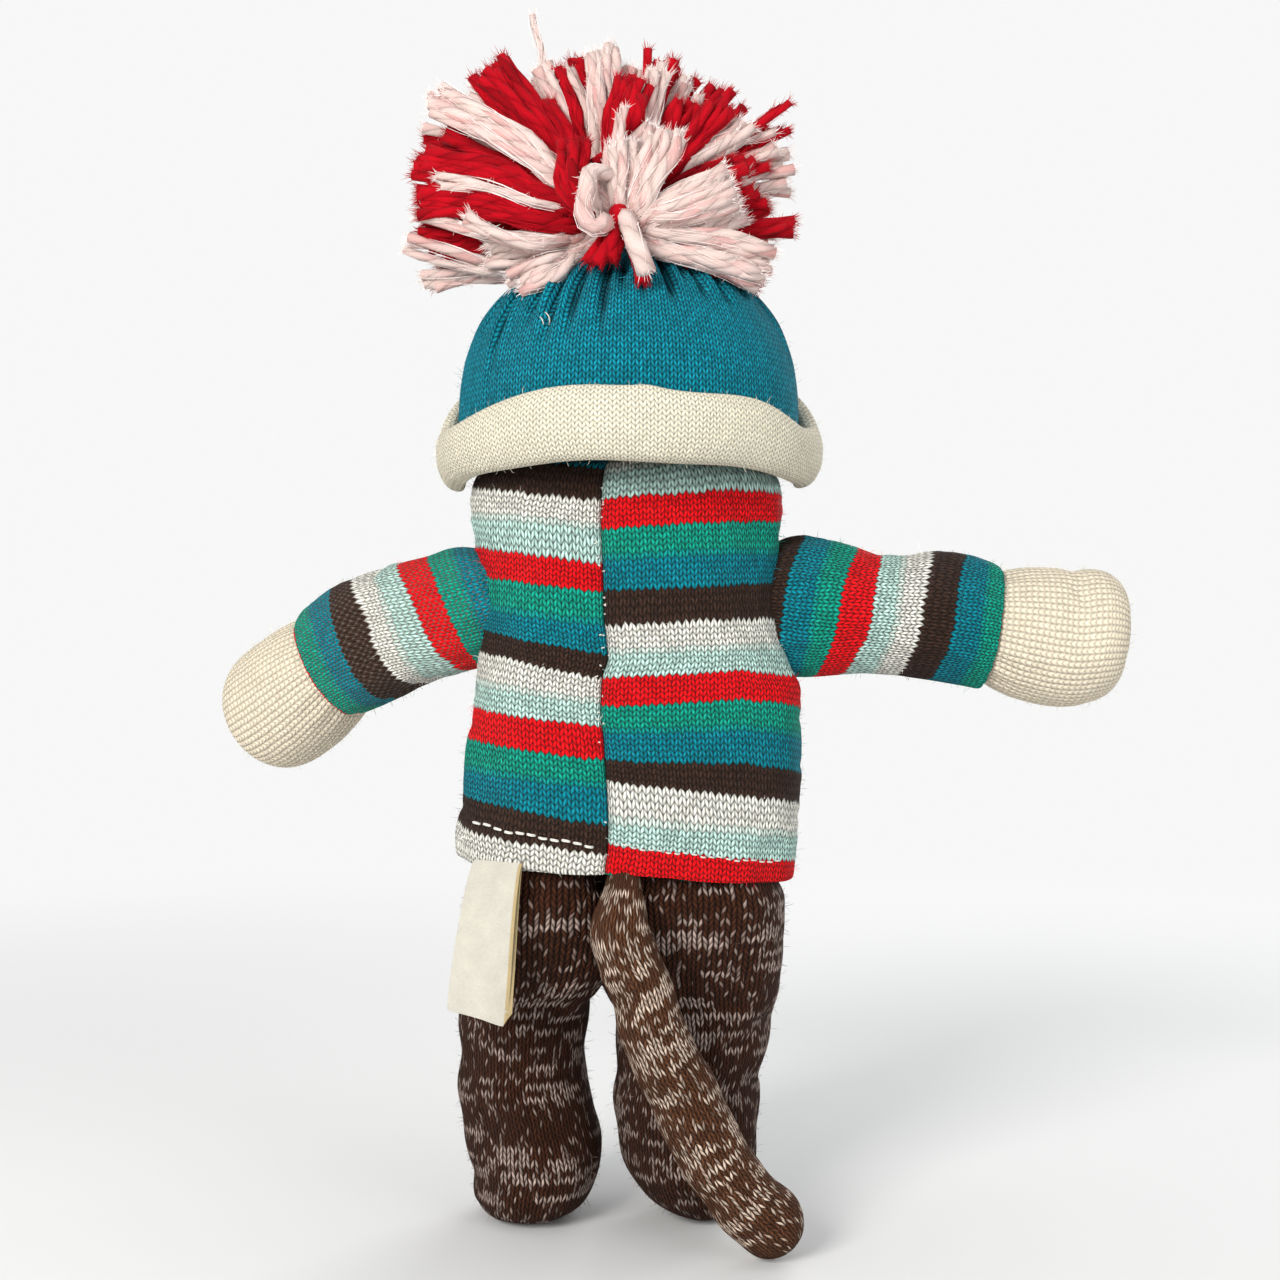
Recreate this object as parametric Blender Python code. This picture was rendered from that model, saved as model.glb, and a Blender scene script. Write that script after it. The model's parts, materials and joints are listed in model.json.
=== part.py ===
# A stuffed sock monkey doll in a striped sweater and a knitted hat with a yarn pom-pom.
# It stands on its two soles, faces -Y, and its own left side is at +X. Sizes are in metres.
# Every mesh is written in the doll's own frame, with the centre line of the trunk at x = y = 0
# and the floor at z = 0. The last step slides the whole doll so that the middle of its
# bounding box is over the origin.

import math

import bmesh
import bpy
from mathutils import Euler, Matrix, Vector

# Cloth and clearances
GAP = 0.0003  # left between two pieces that touch
SEAT_PLAY = 0.0006  # left between a rounded end and the seat that it turns in
SOCK_WALL = 0.0012
SWEATER_WALL = 0.0016
HAT_WALL = 0.0016
SHARP_ANGLE = math.radians(40)
LIMB_SIDES = 16
BALL_SIDES = 20

# Trunk: the brown sock from the crotch to the neck opening
TRUNK_BOTTOM = 0.0620
TRUNK_HEIGHT = 0.1243
TRUNK_HALF_WIDTH = 0.0394
TRUNK_HALF_DEPTH = 0.0270
TRUNK_SQUARENESS = 2.6  # exponent of the rounded box that the trunk is in plan
trunk_shares = (  # height, half width, half depth
    (0.000, 0.20, 0.15),
    (0.016, 0.62, 0.30),
    (0.049, 0.86, 0.50),
    (0.090, 0.96, 0.70),
    (0.131, 1.00, 0.85),
    (0.181, 1.00, 0.95),
    (0.230, 1.00, 1.00),
    (0.410, 0.985, 0.985),
    (0.681, 0.965, 0.975),
    (0.860, 0.940, 0.93),
    (0.945, 0.910, 0.90),
    (0.977, 0.840, 0.87),
    (0.993, 0.660, 0.76),
    (1.000, 0.420, 0.58),
)

# Sweater: it ends below in a hem that rides higher on the doll's left
HEM_RIGHT_HEIGHT = 0.0872
HEM_LEFT_HEIGHT = 0.0925
HEM_RISE_POWER = 0.6
BACK_SEAM_OFFSET = 0.0070
FRONT_COLUMNS = 12
BACK_COLUMNS = 6
COLLAR_INNER_RADIUS = 0.0134
COLLAR_WIDTH = 0.0030
COLLAR_HEIGHT = 0.0011

# Label: a ribbon folded at its lower end, hanging from the hem
LABEL_WIDTH = 0.0130
LABEL_LENGTH = 0.0370
LABEL_RIBBON = 0.0005
LABEL_FOLD_GAP = 0.0004
LABEL_ACROSS = 0.0348
LABEL_TURN = math.radians(-20)

# Neck: a firm ball of filling between the trunk and the head
NECK_HEIGHT = 0.1890
NECK_RADIUS = 0.0120

# Head: as high as it is without the hat
HEAD_BOTTOM = 0.1922
HEAD_HEIGHT = 0.0486
HEAD_HALF_WIDTH = 0.0391
HEAD_DEPTH_SHARE = 0.97
HEAD_SIDES = 20
head_shares = (  # height, radius
    (0.000, 0.18),
    (0.028, 0.41),
    (0.070, 0.64),
    (0.120, 0.82),
    (0.200, 0.934),
    (0.290, 1.000),
    (0.455, 0.975),
    (0.600, 0.900),
    (0.745, 0.785),
    (0.845, 0.672),
    (0.935, 0.457),
    (0.984, 0.227),
    (1.000, 0.080),
)

# Face: a stuffed muzzle, a stitched mouth, two button eyes and two small ears
MUZZLE_HEIGHT = 0.1980
MUZZLE_FORWARD = 0.0375
MUZZLE_HALF_WIDTH = 0.0160
MUZZLE_HALF_DEPTH = 0.0110
MUZZLE_HALF_HEIGHT = 0.0080
MOUTH_RADIUS = 0.0005
MOUTH_SWEEP = math.radians(48)
MOUTH_DIP = math.radians(-22)
MOUTH_LIFT = math.radians(20)
MOUTH_POINTS = 13
EYE_HEIGHT = 0.2090
EYE_RADIUS = 0.0032
EYE_THICKNESS = 0.0016
EYE_TURN = math.radians(19)
EYE_SIDES = 16
eye_shares = (  # thickness, radius
    (0.0, 0.86),
    (0.25, 1.0),
    (0.75, 1.0),
    (1.0, 0.82),
)
EAR_HEIGHT = 0.1975
EAR_OUT = 0.0402
EAR_HALF_LENGTH = 0.0068
EAR_HALF_HEIGHT = 0.0058
EAR_HALF_THICKNESS = 0.0024
EAR_TURN = math.radians(50)

# Hat: a crown and a cuff that dips at the sides and rises to the forehead
HAT_SLACK = 0.0007  # how loosely the crown goes over the head
CUFF_SIDE_HEIGHT = 0.1835
CUFF_FRONT_LIFT = 0.0345
CUFF_BACK_LIFT = 0.0036
CUFF_FRONT_POWER = 1.1
CUFF_BACK_POWER = 1.5
CUFF_BAND = 0.0170
CUFF_THICKNESS = 0.0044
CUFF_SLACK = 0.0005  # how loosely the cuff goes round the crown
CROWN_TUCK = 0.0060
CROWN_LEVELS = 11
CROWN_TOP_SHARE = 0.12
cuff_section_shares = (  # thickness, height
    (0.0, 0.06),
    (0.0, 0.28),
    (0.0, 0.50),
    (0.0, 0.72),
    (0.0, 0.94),
    (0.30, 1.0),
    (0.75, 0.98),
    (1.0, 0.84),
    (1.0, 0.16),
    (0.75, 0.02),
    (0.30, 0.0),
)

# Pom-pom and the knot that it nods on
KNOT_RADIUS = 0.0050
POMPOM_HEIGHT = 0.0470
POMPOM_HALF_WIDTH = 0.0480
POMPOM_HALF_DEPTH = 0.0390
POMPOM_OFFSET = 0.0075
POMPOM_LIFT = 0.0022
POMPOM_LOBES = 7
POMPOM_SIDES = 24
POMPOM_LOBE_SHARE = 0.04
pompom_shares = (  # height, radius
    (0.00, 0.12),
    (0.05, 0.42),
    (0.11, 0.75),
    (0.23, 0.95),
    (0.40, 1.00),
    (0.62, 0.90),
    (0.81, 0.68),
    (0.93, 0.40),
    (1.00, 0.10),
)

# Arms: a round shoulder, a sleeve and a hand, measured from the shoulder's centre
SHOULDER_ACROSS = 0.0456
SHOULDER_HEIGHT = 0.1550
SHOULDER_RADIUS = 0.0188
SLEEVE_LENGTH = 0.0509
SLEEVE_TOP_RADIUS = 0.0162
SLEEVE_END_RADIUS = 0.0155
HAND_LENGTH = 0.0285
HAND_RADIUS = 0.0174
shoulder_ring_angles = (134, 112, 90, 68)
hand_shares = (  # length, radius
    (0.00, 0.89),
    (0.22, 0.95),
    (0.48, 1.00),
    (0.72, 0.93),
    (0.88, 0.72),
    (0.97, 0.42),
    (1.00, 0.14),
)
LEFT_ARM_DOWN = math.radians(21)
LEFT_ARM_TURN = math.radians(-36)
RIGHT_ARM_DOWN = math.radians(6.5)
RIGHT_ARM_TURN = math.radians(180)

# Legs: a round hip, a stuffed tube and a foot with a flat sole
HIP_HEIGHT = 0.0620
LEFT_HIP_ACROSS = 0.0262
LEFT_HIP_FORWARD = 0.0070
LEFT_HIP_RADIUS = 0.0165
RIGHT_HIP_ACROSS = -0.0169
RIGHT_HIP_FORWARD = 0.0110
RIGHT_HIP_RADIUS = 0.0204
hip_ring_angles = (34, 56, 78)
left_leg_shares = (  # height, then in hip radii: across, forward, half width, half depth
    (0.90, 0.00, 0.00, 0.97, 0.97),
    (0.71, 0.04, 0.00, 0.89, 0.91),
    (0.50, 0.02, 0.00, 0.95, 0.93),
    (0.31, -0.11, 0.05, 0.97, 0.98),
    (0.17, -0.16, 0.16, 0.94, 1.12),
    (0.06, -0.16, 0.20, 0.84, 1.06),
    (0.00, -0.16, 0.21, 0.68, 0.88),
)
right_leg_shares = (
    (0.90, 0.01, 0.00, 0.975, 0.975),
    (0.74, 0.03, -0.05, 0.92, 0.93),
    (0.58, 0.09, -0.10, 0.88, 0.88),
    (0.34, 0.11, -0.08, 0.85, 0.88),
    (0.19, 0.09, 0.02, 0.82, 0.97),
    (0.06, 0.04, 0.04, 0.68, 0.90),
    (0.00, 0.03, 0.04, 0.54, 0.74),
)

# Tail: it starts at a gathered knot under the hem and leans over to the doll's right
TAIL_KNOT_ACROSS = 0.0014
TAIL_KNOT_BEHIND = 0.0318
TAIL_KNOT_HEIGHT = 0.0838
TAIL_ROOT_RADIUS = 0.0062
TAIL_RADIUS = 0.0088
TAIL_SPREAD = 0.0345
TAIL_DROP = 0.0750
TAIL_LEAN = 0.0075
TAIL_SIDES = 14
tail_path_shares = (  # spread, lean, drop
    (0.00, 0.00, 0.000),
    (0.00, 0.07, 0.100),
    (0.11, 0.30, 0.245),
    (0.24, 0.53, 0.421),
    (0.42, 0.73, 0.583),
    (0.58, 0.87, 0.743),
    (0.77, 0.95, 0.890),
    (1.00, 1.00, 1.000),
)
tail_root_ring_angles = (135, 90)
tail_radius_shares = (  # share of the way, share of the radius
    (0.10, 0.74),
    (0.20, 0.86),
    (0.40, 0.95),
    (0.62, 0.98),
    (0.84, 1.00),
)
tail_tip_angles = (15, 45, 70, 84)


def new_object(name, shape, root):
    """A mesh object from a bmesh, smooth but for its hard edges, hanging on the doll's frame."""
    mesh = bpy.data.meshes.new(name)
    bmesh.ops.recalc_face_normals(shape, faces=shape.faces)
    shape.to_mesh(mesh)
    shape.free()
    mesh.shade_smooth()
    mesh.set_sharp_from_angle(angle=SHARP_ANGLE)
    made = bpy.data.objects.new(name, mesh)
    bpy.context.scene.collection.objects.link(made)
    made.parent = root
    return made


def loft(name, rings, root, closed=False):
    """A skin over rings of points. Its two ends are capped, or joined when it is closed."""
    shape = bmesh.new()
    rows = [[shape.verts.new(point) for point in ring] for ring in rings]
    pairs = list(zip(rows, rows[1:]))
    if closed:
        pairs.append((rows[-1], rows[0]))
    else:
        shape.faces.new(rows[0])
        shape.faces.new(rows[-1])
    for lower, upper in pairs:
        for here in range(len(lower)):
            after = (here + 1) % len(lower)
            shape.faces.new((lower[here], lower[after], upper[after], upper[here]))
    return new_object(name, shape, root)


def ball(name, center, radii, root, sides=BALL_SIDES, turn=0.0):
    """A sphere or an ellipsoid, turned about the vertical."""
    shape = bmesh.new()
    placing = Matrix.Translation(center) @ Matrix.Rotation(turn, 4, "Z") @ Matrix.Diagonal((*radii, 1.0))
    bmesh.ops.create_uvsphere(shape, u_segments=sides, v_segments=sides // 2, radius=1.0, matrix=placing)
    return new_object(name, shape, root)


def as_cutter(made):
    made.hide_render = True
    made.display_type = "WIRE"
    return made


def cut(made, *cutters):
    for cutter in cutters:
        modifier = made.modifiers.new("cut by " + cutter.name, "BOOLEAN")
        modifier.operation = "DIFFERENCE"
        modifier.object = cutter


def finish(made, look, carrier):
    """The piece's material, and the empty that carries it, on the axis it moves about."""
    made.data.materials.append(look)
    made.parent = carrier
    made.matrix_parent_inverse = carrier_inverse(carrier)
    return made


def carrier_inverse(carrier):
    """What cancels the carriers' places below the doll's frame, so that meshes keep their own."""
    place = Vector((0, 0, 0))
    while carrier.parent:
        place += carrier.location
        carrier = carrier.parent
    return Matrix.Translation(-place)


def pivot(name, place, carrier):
    """An empty on a joint's axis, at a place in the doll's frame."""
    made = bpy.data.objects.new(name, None)
    bpy.context.scene.collection.objects.link(made)
    made.parent = carrier
    made.location = carrier_inverse(carrier) @ Vector(place)
    return made


def cloth(name, colour, roughness):
    look = bpy.data.materials.new(name)
    look.use_nodes = True
    shader = look.node_tree.nodes["Principled BSDF"]
    shader.inputs["Base Color"].default_value = (*colour, 1.0)
    shader.inputs["Roughness"].default_value = roughness
    shader.inputs["Metallic"].default_value = 0.0
    return look


def offset_levels(levels, distance):
    """Levels of a profile, each an along value and two radii, moved out along the profile's normal."""
    moved = []
    for index, (along, wide, deep) in enumerate(levels):
        before = levels[max(index - 1, 0)]
        after = levels[min(index + 1, len(levels) - 1)]
        direction = Vector((after[1] - before[1], after[0] - before[0])).normalized()
        sign = 1 if after[0] > before[0] else -1
        out = distance * sign * direction.y
        up = -distance * sign * direction.x
        moved.append((along + up, wide + out, deep + out))
    return moved


def size_at(levels, along):
    """The half width and half depth that the levels have at one height."""
    for low, high in zip(levels, levels[1:]):
        if along <= high[0]:
            share = max((along - low[0]) / (high[0] - low[0]), 0)
            return [a + (b - a) * share for a, b in zip(low[1:], high[1:])]
    return list(levels[-1][1:])


def rounded_box_point(angle, wide, deep):
    """A point of a plan that is fuller than an ellipse."""
    power = 2 / TRUNK_SQUARENESS
    across = math.copysign(abs(math.cos(angle)) ** power, math.cos(angle))
    back = math.copysign(abs(math.sin(angle)) ** power, math.sin(angle))
    return wide * across, deep * back


def trunk_levels():
    return [
        (
            TRUNK_BOTTOM + TRUNK_HEIGHT * height,
            TRUNK_HALF_WIDTH * wide,
            TRUNK_HALF_DEPTH * deep,
        )
        for height, wide, deep in trunk_shares
    ]


def back_seam_angle():
    return math.acos((BACK_SEAM_OFFSET / TRUNK_HALF_WIDTH) ** (TRUNK_SQUARENESS / 2))


def plan_angles():
    """The angles of the trunk's corners, which the sweater's panels share, seams included."""
    seam = back_seam_angle()
    left = [seam * step / BACK_COLUMNS for step in range(BACK_COLUMNS)]
    right = [seam + (math.pi - seam) * step / BACK_COLUMNS for step in range(BACK_COLUMNS)]
    front = [math.pi * (1 + step / FRONT_COLUMNS) for step in range(FRONT_COLUMNS)]
    return left + right + front


def trunk_rings(levels):
    rings = []
    for along, wide, deep in levels:
        rings.append([(*rounded_box_point(angle, wide, deep), along) for angle in plan_angles()])
    return rings


def hem_height(across):
    """The hem rises from the doll's right to its left, most of it before the middle."""
    reach = TRUNK_HALF_WIDTH + GAP + SWEATER_WALL
    share = min(max((across / reach + 1) / 2, 0), 1)
    return HEM_RIGHT_HEIGHT + (HEM_LEFT_HEIGHT - HEM_RIGHT_HEIGHT) * share**HEM_RISE_POWER


def make_trunk(root, look, filling_look, cutters):
    outer = trunk_levels()
    inner = offset_levels(outer, -SOCK_WALL)
    rings = trunk_rings(outer) + trunk_rings(inner)[::-1]
    sock = finish(loft("body_sock", rings, root), look, root)
    core = offset_levels(outer, -SOCK_WALL - GAP)
    filling = finish(loft("body_stuffing", trunk_rings(core), root), filling_look, root)
    for made in (sock, filling):
        cut(made, *cutters)


def panel_row(wide, deep, height, first, last):
    """A row of a panel's points, drawn in by half a gap at each seam."""
    angles = plan_angles()
    row = []
    for step in range(first, last + 1):
        row.append(Vector(rounded_box_point(angles[step % len(angles)], wide, deep)))
    row[0] = row[0] + (row[1] - row[0]).normalized() * GAP / 2
    row[-1] = row[-1] + (row[-2] - row[-1]).normalized() * GAP / 2
    return [(*point, hem_height(point.x) if height is None else height) for point in row]


def panel_wall(distance, first, last):
    """One face of a panel, as rows from the hem up to the neck."""
    levels = offset_levels(trunk_levels(), distance)
    rows = [panel_row(*size_at(levels, HEM_LEFT_HEIGHT), None, first, last)]
    for along, wide, deep in levels:
        if along > HEM_LEFT_HEIGHT:
            rows.append(panel_row(wide, deep, along, first, last))
    return rows


def panel(name, first, last, root):
    """A part of the sweater between two seams, as a sheet with a thickness."""
    shape = bmesh.new()
    walls = [panel_wall(distance, first, last) for distance in (GAP, GAP + SWEATER_WALL)]
    inside, outside = [[[shape.verts.new(point) for point in row] for row in wall] for wall in walls]
    strips = list(zip(inside, inside[1:])) + list(zip(outside, outside[1:]))
    strips += [(inside[0], outside[0]), (inside[-1], outside[-1])]
    strips += [([row[side] for row in inside], [row[side] for row in outside]) for side in (0, -1)]
    for near, far in strips:
        for here in range(len(near) - 1):
            shape.faces.new((near[here], near[here + 1], far[here + 1], far[here]))
    return new_object(name, shape, root)


def make_sweater(root, look, cutters):
    spans = (
        ("sweater_back_left", 0, BACK_COLUMNS),
        ("sweater_back_right", BACK_COLUMNS, 2 * BACK_COLUMNS),
        ("sweater_front", 2 * BACK_COLUMNS, 2 * BACK_COLUMNS + FRONT_COLUMNS),
    )
    for name, first, last in spans:
        made = finish(panel(name, first, last, root), look, root)
        cut(made, *cutters)


def sweater_top():
    """The height of the sweater's upper edge."""
    return offset_levels(trunk_levels(), GAP + SWEATER_WALL)[-1][0]


def make_collar(root, look):
    low = sweater_top() + GAP
    high = low + COLLAR_HEIGHT
    inner = COLLAR_INNER_RADIUS
    outer = COLLAR_INNER_RADIUS + COLLAR_WIDTH
    rings = []
    for radius, height in ((inner, low), (outer, low), (outer, high), (inner, high)):
        rings.append(circle(radius, radius, height))
    return finish(loft("sweater_collar", rings, root, closed=True), look, root)


def circle(wide, deep, height, sides=BALL_SIDES):
    angles = [math.tau * step / sides for step in range(sides)]
    return [(wide * math.cos(angle), deep * math.sin(angle), height) for angle in angles]


def label_place():
    """The middle of the label's upper edge, whose inner corner meets the sweater's outer face."""
    wide, deep = size_at(offset_levels(trunk_levels(), GAP + SWEATER_WALL), HEM_LEFT_HEIGHT)
    corner = LABEL_ACROSS - LABEL_WIDTH / 2 * math.cos(LABEL_TURN)
    left_over = 1 - min(corner / wide, 1) ** TRUNK_SQUARENESS
    behind = deep * left_over ** (1 / TRUNK_SQUARENESS) + LABEL_WIDTH / 2 * math.sin(LABEL_TURN) + GAP
    return Vector((LABEL_ACROSS, behind, hem_height(corner) - 2 * GAP))


def make_label(root, look, carrier):
    """Two layers of ribbon joined at the fold, as one outline drawn from the side."""
    thick = 2 * LABEL_RIBBON + LABEL_FOLD_GAP
    near = thick - LABEL_RIBBON
    outline = (
        (0, 0),
        (thick, 0),
        (thick, LABEL_LENGTH),
        (near, LABEL_LENGTH),
        (near, LABEL_RIBBON),
        (LABEL_RIBBON, LABEL_RIBBON),
        (LABEL_RIBBON, LABEL_LENGTH),
        (0, LABEL_LENGTH),
    )
    placing = Matrix.Translation(label_place() - Vector((0, 0, LABEL_LENGTH)))
    placing = placing @ Matrix.Rotation(LABEL_TURN, 4, "Z")
    rings = []
    for side in (-LABEL_WIDTH / 2, LABEL_WIDTH / 2):
        rings.append([placing @ Vector((side, back, height)) for back, height in outline])
    return finish(loft("label", rings, root), look, carrier)


def head_levels():
    levels = []
    for height, radius in head_shares:
        wide = HEAD_HALF_WIDTH * radius
        levels.append((HEAD_BOTTOM + HEAD_HEIGHT * height, wide, wide * HEAD_DEPTH_SHARE))
    return levels


def level_rings(levels, sides=HEAD_SIDES):
    return [circle(wide, deep, along, sides) for along, wide, deep in levels]


def make_head(root, look, filling_look, carrier, seat):
    outer = head_levels()
    rings = level_rings(outer) + level_rings(offset_levels(outer, -SOCK_WALL))[::-1]
    skin = finish(loft("head_skin", rings, root), look, carrier)
    core = level_rings(offset_levels(outer, -SOCK_WALL - GAP))
    filling = finish(loft("head_stuffing", core, root), filling_look, carrier)
    for made in (skin, filling):
        cut(made, seat)


def head_surface(angle, height):
    """The point of the head's skin in a direction, where an angle of zero is straight ahead."""
    wide, deep = size_at(head_levels(), height)
    return Vector((wide * math.sin(angle), -deep * math.cos(angle), height))


def make_face(root, looks, carrier):
    room = as_cutter(loft("head_room", level_rings(offset_levels(head_levels(), GAP)), root))
    center = Vector((0, -MUZZLE_FORWARD, MUZZLE_HEIGHT))
    radii = (MUZZLE_HALF_WIDTH, MUZZLE_HALF_DEPTH, MUZZLE_HALF_HEIGHT)
    muzzle = finish(ball("muzzle", center, radii, root, LIMB_SIDES), looks["cream"], carrier)
    cut(muzzle, room)
    for side, name in ((1, "left"), (-1, "right")):
        make_eye("eye_" + name, side * EYE_TURN, root, looks["button"], carrier)
        out = Vector((math.sin(side * EAR_TURN), -math.cos(EAR_TURN), 0)) * EAR_OUT
        out.z = EAR_HEIGHT
        size = (EAR_HALF_THICKNESS, EAR_HALF_LENGTH, EAR_HALF_HEIGHT)
        ear = ball("ear_" + name, out, size, root, TAIL_SIDES, side * EAR_TURN)
        cut(finish(ear, looks["sock"], carrier), room)
    finish(mouth_stitch(center, radii, root), looks["red"], carrier)


def make_eye(name, turn, root, look, carrier):
    """A sewn-on button, flat against the head."""
    base = head_surface(turn, EYE_HEIGHT)
    base += base.xy.normalized().to_3d() * GAP
    facing = Matrix.Rotation(turn, 4, "Z") @ Matrix.Rotation(math.radians(90), 4, "X")
    placing = Matrix.Translation(base) @ facing
    rings = []
    for thickness, radius in eye_shares:
        flat = circle(EYE_RADIUS * radius, EYE_RADIUS * radius, EYE_THICKNESS * thickness, EYE_SIDES)
        rings.append([placing @ Vector(point) for point in flat])
    return finish(loft(name, rings, root), look, carrier)


def mouth_stitch(center, radii, root):
    """A line of yarn that lies on the muzzle and turns up at its ends."""
    stand_off = MOUTH_RADIUS + GAP
    curve = bpy.data.curves.new("mouth", "CURVE")
    curve.dimensions = "3D"
    curve.bevel_depth = MOUTH_RADIUS
    curve.bevel_resolution = 1
    curve.use_fill_caps = True
    line = curve.splines.new("POLY")
    line.points.add(MOUTH_POINTS - 1)
    for index, point in enumerate(line.points):
        share = 2 * index / (MOUTH_POINTS - 1) - 1
        turn = MOUTH_SWEEP * share
        tilt = MOUTH_DIP + MOUTH_LIFT * share * share
        direction = (math.cos(tilt) * math.sin(turn), -math.cos(tilt) * math.cos(turn), math.sin(tilt))
        place = [c + (r + stand_off) * d for c, r, d in zip(center, radii, direction)]
        point.co = (*place, 1.0)
    guide = bpy.data.objects.new("mouth_line", curve)
    made = bpy.data.objects.new("mouth", bpy.data.meshes.new_from_object(guide))
    bpy.data.objects.remove(guide)
    bpy.context.scene.collection.objects.link(made)
    made.parent = root
    return made


def cuff_bottom(angle):
    """The lower edge of the cuff at an angle from straight ahead."""
    facing = math.cos(angle)
    if facing > 0:
        return CUFF_SIDE_HEIGHT + CUFF_FRONT_LIFT * facing**CUFF_FRONT_POWER
    return CUFF_SIDE_HEIGHT + CUFF_BACK_LIFT * (-facing) ** CUFF_BACK_POWER


def hat_size(height, distance):
    """The hat's half width and depth at a height. Below the head's widest place it hangs straight."""
    widest = HEAD_BOTTOM + HEAD_HEIGHT * max(head_shares, key=lambda level: level[1])[0]
    levels = offset_levels(head_levels(), distance)
    return size_at(levels, max(height, widest))


def hat_top(distance):
    return offset_levels(head_levels(), distance)[-1][0]


def crown_outside():
    """How far the crown's outer face is from the head."""
    return GAP + HAT_SLACK + HAT_WALL


def make_crown(root, look, carrier):
    walls = []
    for distance in (crown_outside(), crown_outside() - HAT_WALL):
        top = hat_top(distance)
        levels = offset_levels(head_levels(), distance)
        rings = []
        for step in range(CROWN_LEVELS):
            rise = 1 - (1 - step / (CROWN_LEVELS - 1)) ** 2
            ring = []
            for side in range(HEAD_SIDES):
                angle = math.tau * side / HEAD_SIDES
                low = cuff_bottom(angle) + CROWN_TUCK
                height = low + (levels[-3][0] - low) * rise
                wide, deep = hat_size(height, distance)
                ring.append((wide * math.sin(angle), -deep * math.cos(angle), height))
            rings.append(ring)
        wide = HEAD_HALF_WIDTH * CROWN_TOP_SHARE
        rings.append([(wide * math.sin(math.tau * side / HEAD_SIDES),
                       -wide * math.cos(math.tau * side / HEAD_SIDES), top)
                      for side in range(HEAD_SIDES)])
        walls.append(rings)
    outer, inner = walls
    return finish(loft("hat_crown", outer[::-1] + inner, root), look, carrier)


def make_cuff(root, look, carrier):
    stand_off = crown_outside() + GAP + CUFF_SLACK
    rings = []
    for thickness, share in cuff_section_shares:
        ring = []
        for side in range(2 * HEAD_SIDES):
            angle = math.tau * side / (2 * HEAD_SIDES)
            height = cuff_bottom(angle) + CUFF_BAND * share
            wide, deep = hat_size(height, stand_off)
            out = CUFF_THICKNESS * thickness
            ring.append(((wide + out) * math.sin(angle), -(deep + out) * math.cos(angle), height))
        rings.append(ring)
    return finish(loft("hat_cuff", rings, root, closed=True), look, carrier)


def knot_center():
    return Vector((0, 0, hat_top(crown_outside()) + GAP + KNOT_RADIUS))


def make_pompom(root, look, carrier, seat):
    """A wide tuft, a little lobed where its bunches of yarn part."""
    base = knot_center() + Vector((0, 0, -POMPOM_LIFT))
    rings = []
    for height, radius in pompom_shares:
        ring = []
        for side in range(POMPOM_SIDES):
            angle = math.tau * side / POMPOM_SIDES
            lobe = 1 + POMPOM_LOBE_SHARE * math.sin(POMPOM_LOBES * angle)
            across = POMPOM_HALF_WIDTH * radius * lobe * math.cos(angle) + POMPOM_OFFSET * radius
            back = POMPOM_HALF_DEPTH * radius * lobe * math.sin(angle)
            ring.append((across, back, base.z + POMPOM_HEIGHT * height))
        rings.append(ring)
    cut(finish(loft("pompom", rings, root), look, carrier), seat)


def shoulder_center(side):
    return Vector((side * SHOULDER_ACROSS, 0, SHOULDER_HEIGHT))


def placed_rings(levels, placing, sides=LIMB_SIDES):
    """Rings of a straight limb, which runs along its own +X."""
    rings = []
    for along, wide, deep in levels:
        angles = [math.tau * step / sides for step in range(sides)]
        ring = [(along, wide * math.cos(angle), deep * math.sin(angle)) for angle in angles]
        rings.append([placing @ Vector(point) for point in ring])
    return rings


def sleeve_levels():
    levels = []
    for angle in shoulder_ring_angles:
        turn = math.radians(angle)
        radius = SHOULDER_RADIUS * math.sin(turn)
        levels.append((SHOULDER_RADIUS * math.cos(turn), radius, radius))
    middle = SLEEVE_LENGTH / 2
    levels.append((middle, SLEEVE_TOP_RADIUS, SLEEVE_TOP_RADIUS))
    levels.append((SLEEVE_LENGTH, SLEEVE_END_RADIUS, SLEEVE_END_RADIUS))
    return levels


def hand_levels():
    start = SLEEVE_LENGTH + GAP
    return [(start + HAND_LENGTH * share, HAND_RADIUS * radius, HAND_RADIUS * radius)
            for share, radius in hand_shares]


def wad_radius():
    """As large as fits in the shoulder, whose inside is made of flat facets."""
    step = math.radians(shoulder_ring_angles[0] - shoulder_ring_angles[1])
    facets = math.cos(step / 2) * math.cos(math.pi / LIMB_SIDES)
    return (SHOULDER_RADIUS - SWEATER_WALL) * facets - GAP


def make_arm(name, side, down, turn, root, looks, carrier, wad_carrier):
    center = shoulder_center(side)
    placing = Matrix.Translation(center) @ Euler((0, down, turn)).to_matrix().to_4x4()
    radius = wad_radius()
    wad = ball("arm_root_stuffing_" + name, center, (radius,) * 3, root, LIMB_SIDES)
    finish(wad, looks["filling"], wad_carrier)
    outer = sleeve_levels()
    inner = offset_levels(outer, -SWEATER_WALL)
    inner[0] = (outer[0][0], *inner[0][1:])
    inner[-1] = (outer[-1][0], *inner[-1][1:])
    rings = placed_rings(outer, placing) + placed_rings(inner, placing)[::-1]
    finish(loft("sleeve_" + name, rings, root, closed=True), looks["sweater"], carrier)
    palm = hand_levels()
    lining = offset_levels(palm, -SOCK_WALL)
    lining[0] = (palm[0][0], *lining[0][1:])
    rings = placed_rings(palm, placing)[::-1] + placed_rings(lining, placing)
    finish(loft("hand_" + name, rings, root), looks["cream"], carrier)
    filling = offset_levels(outer, -SWEATER_WALL - GAP)
    start = radius + GAP
    core = [(start, *size_at(filling, start)), filling[-2], (SLEEVE_LENGTH, *filling[-1][1:])]
    core += offset_levels(palm, -SOCK_WALL - GAP)[1:]
    finish(loft("arm_stuffing_" + name, placed_rings(core, placing), root), looks["filling"], carrier)


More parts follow.
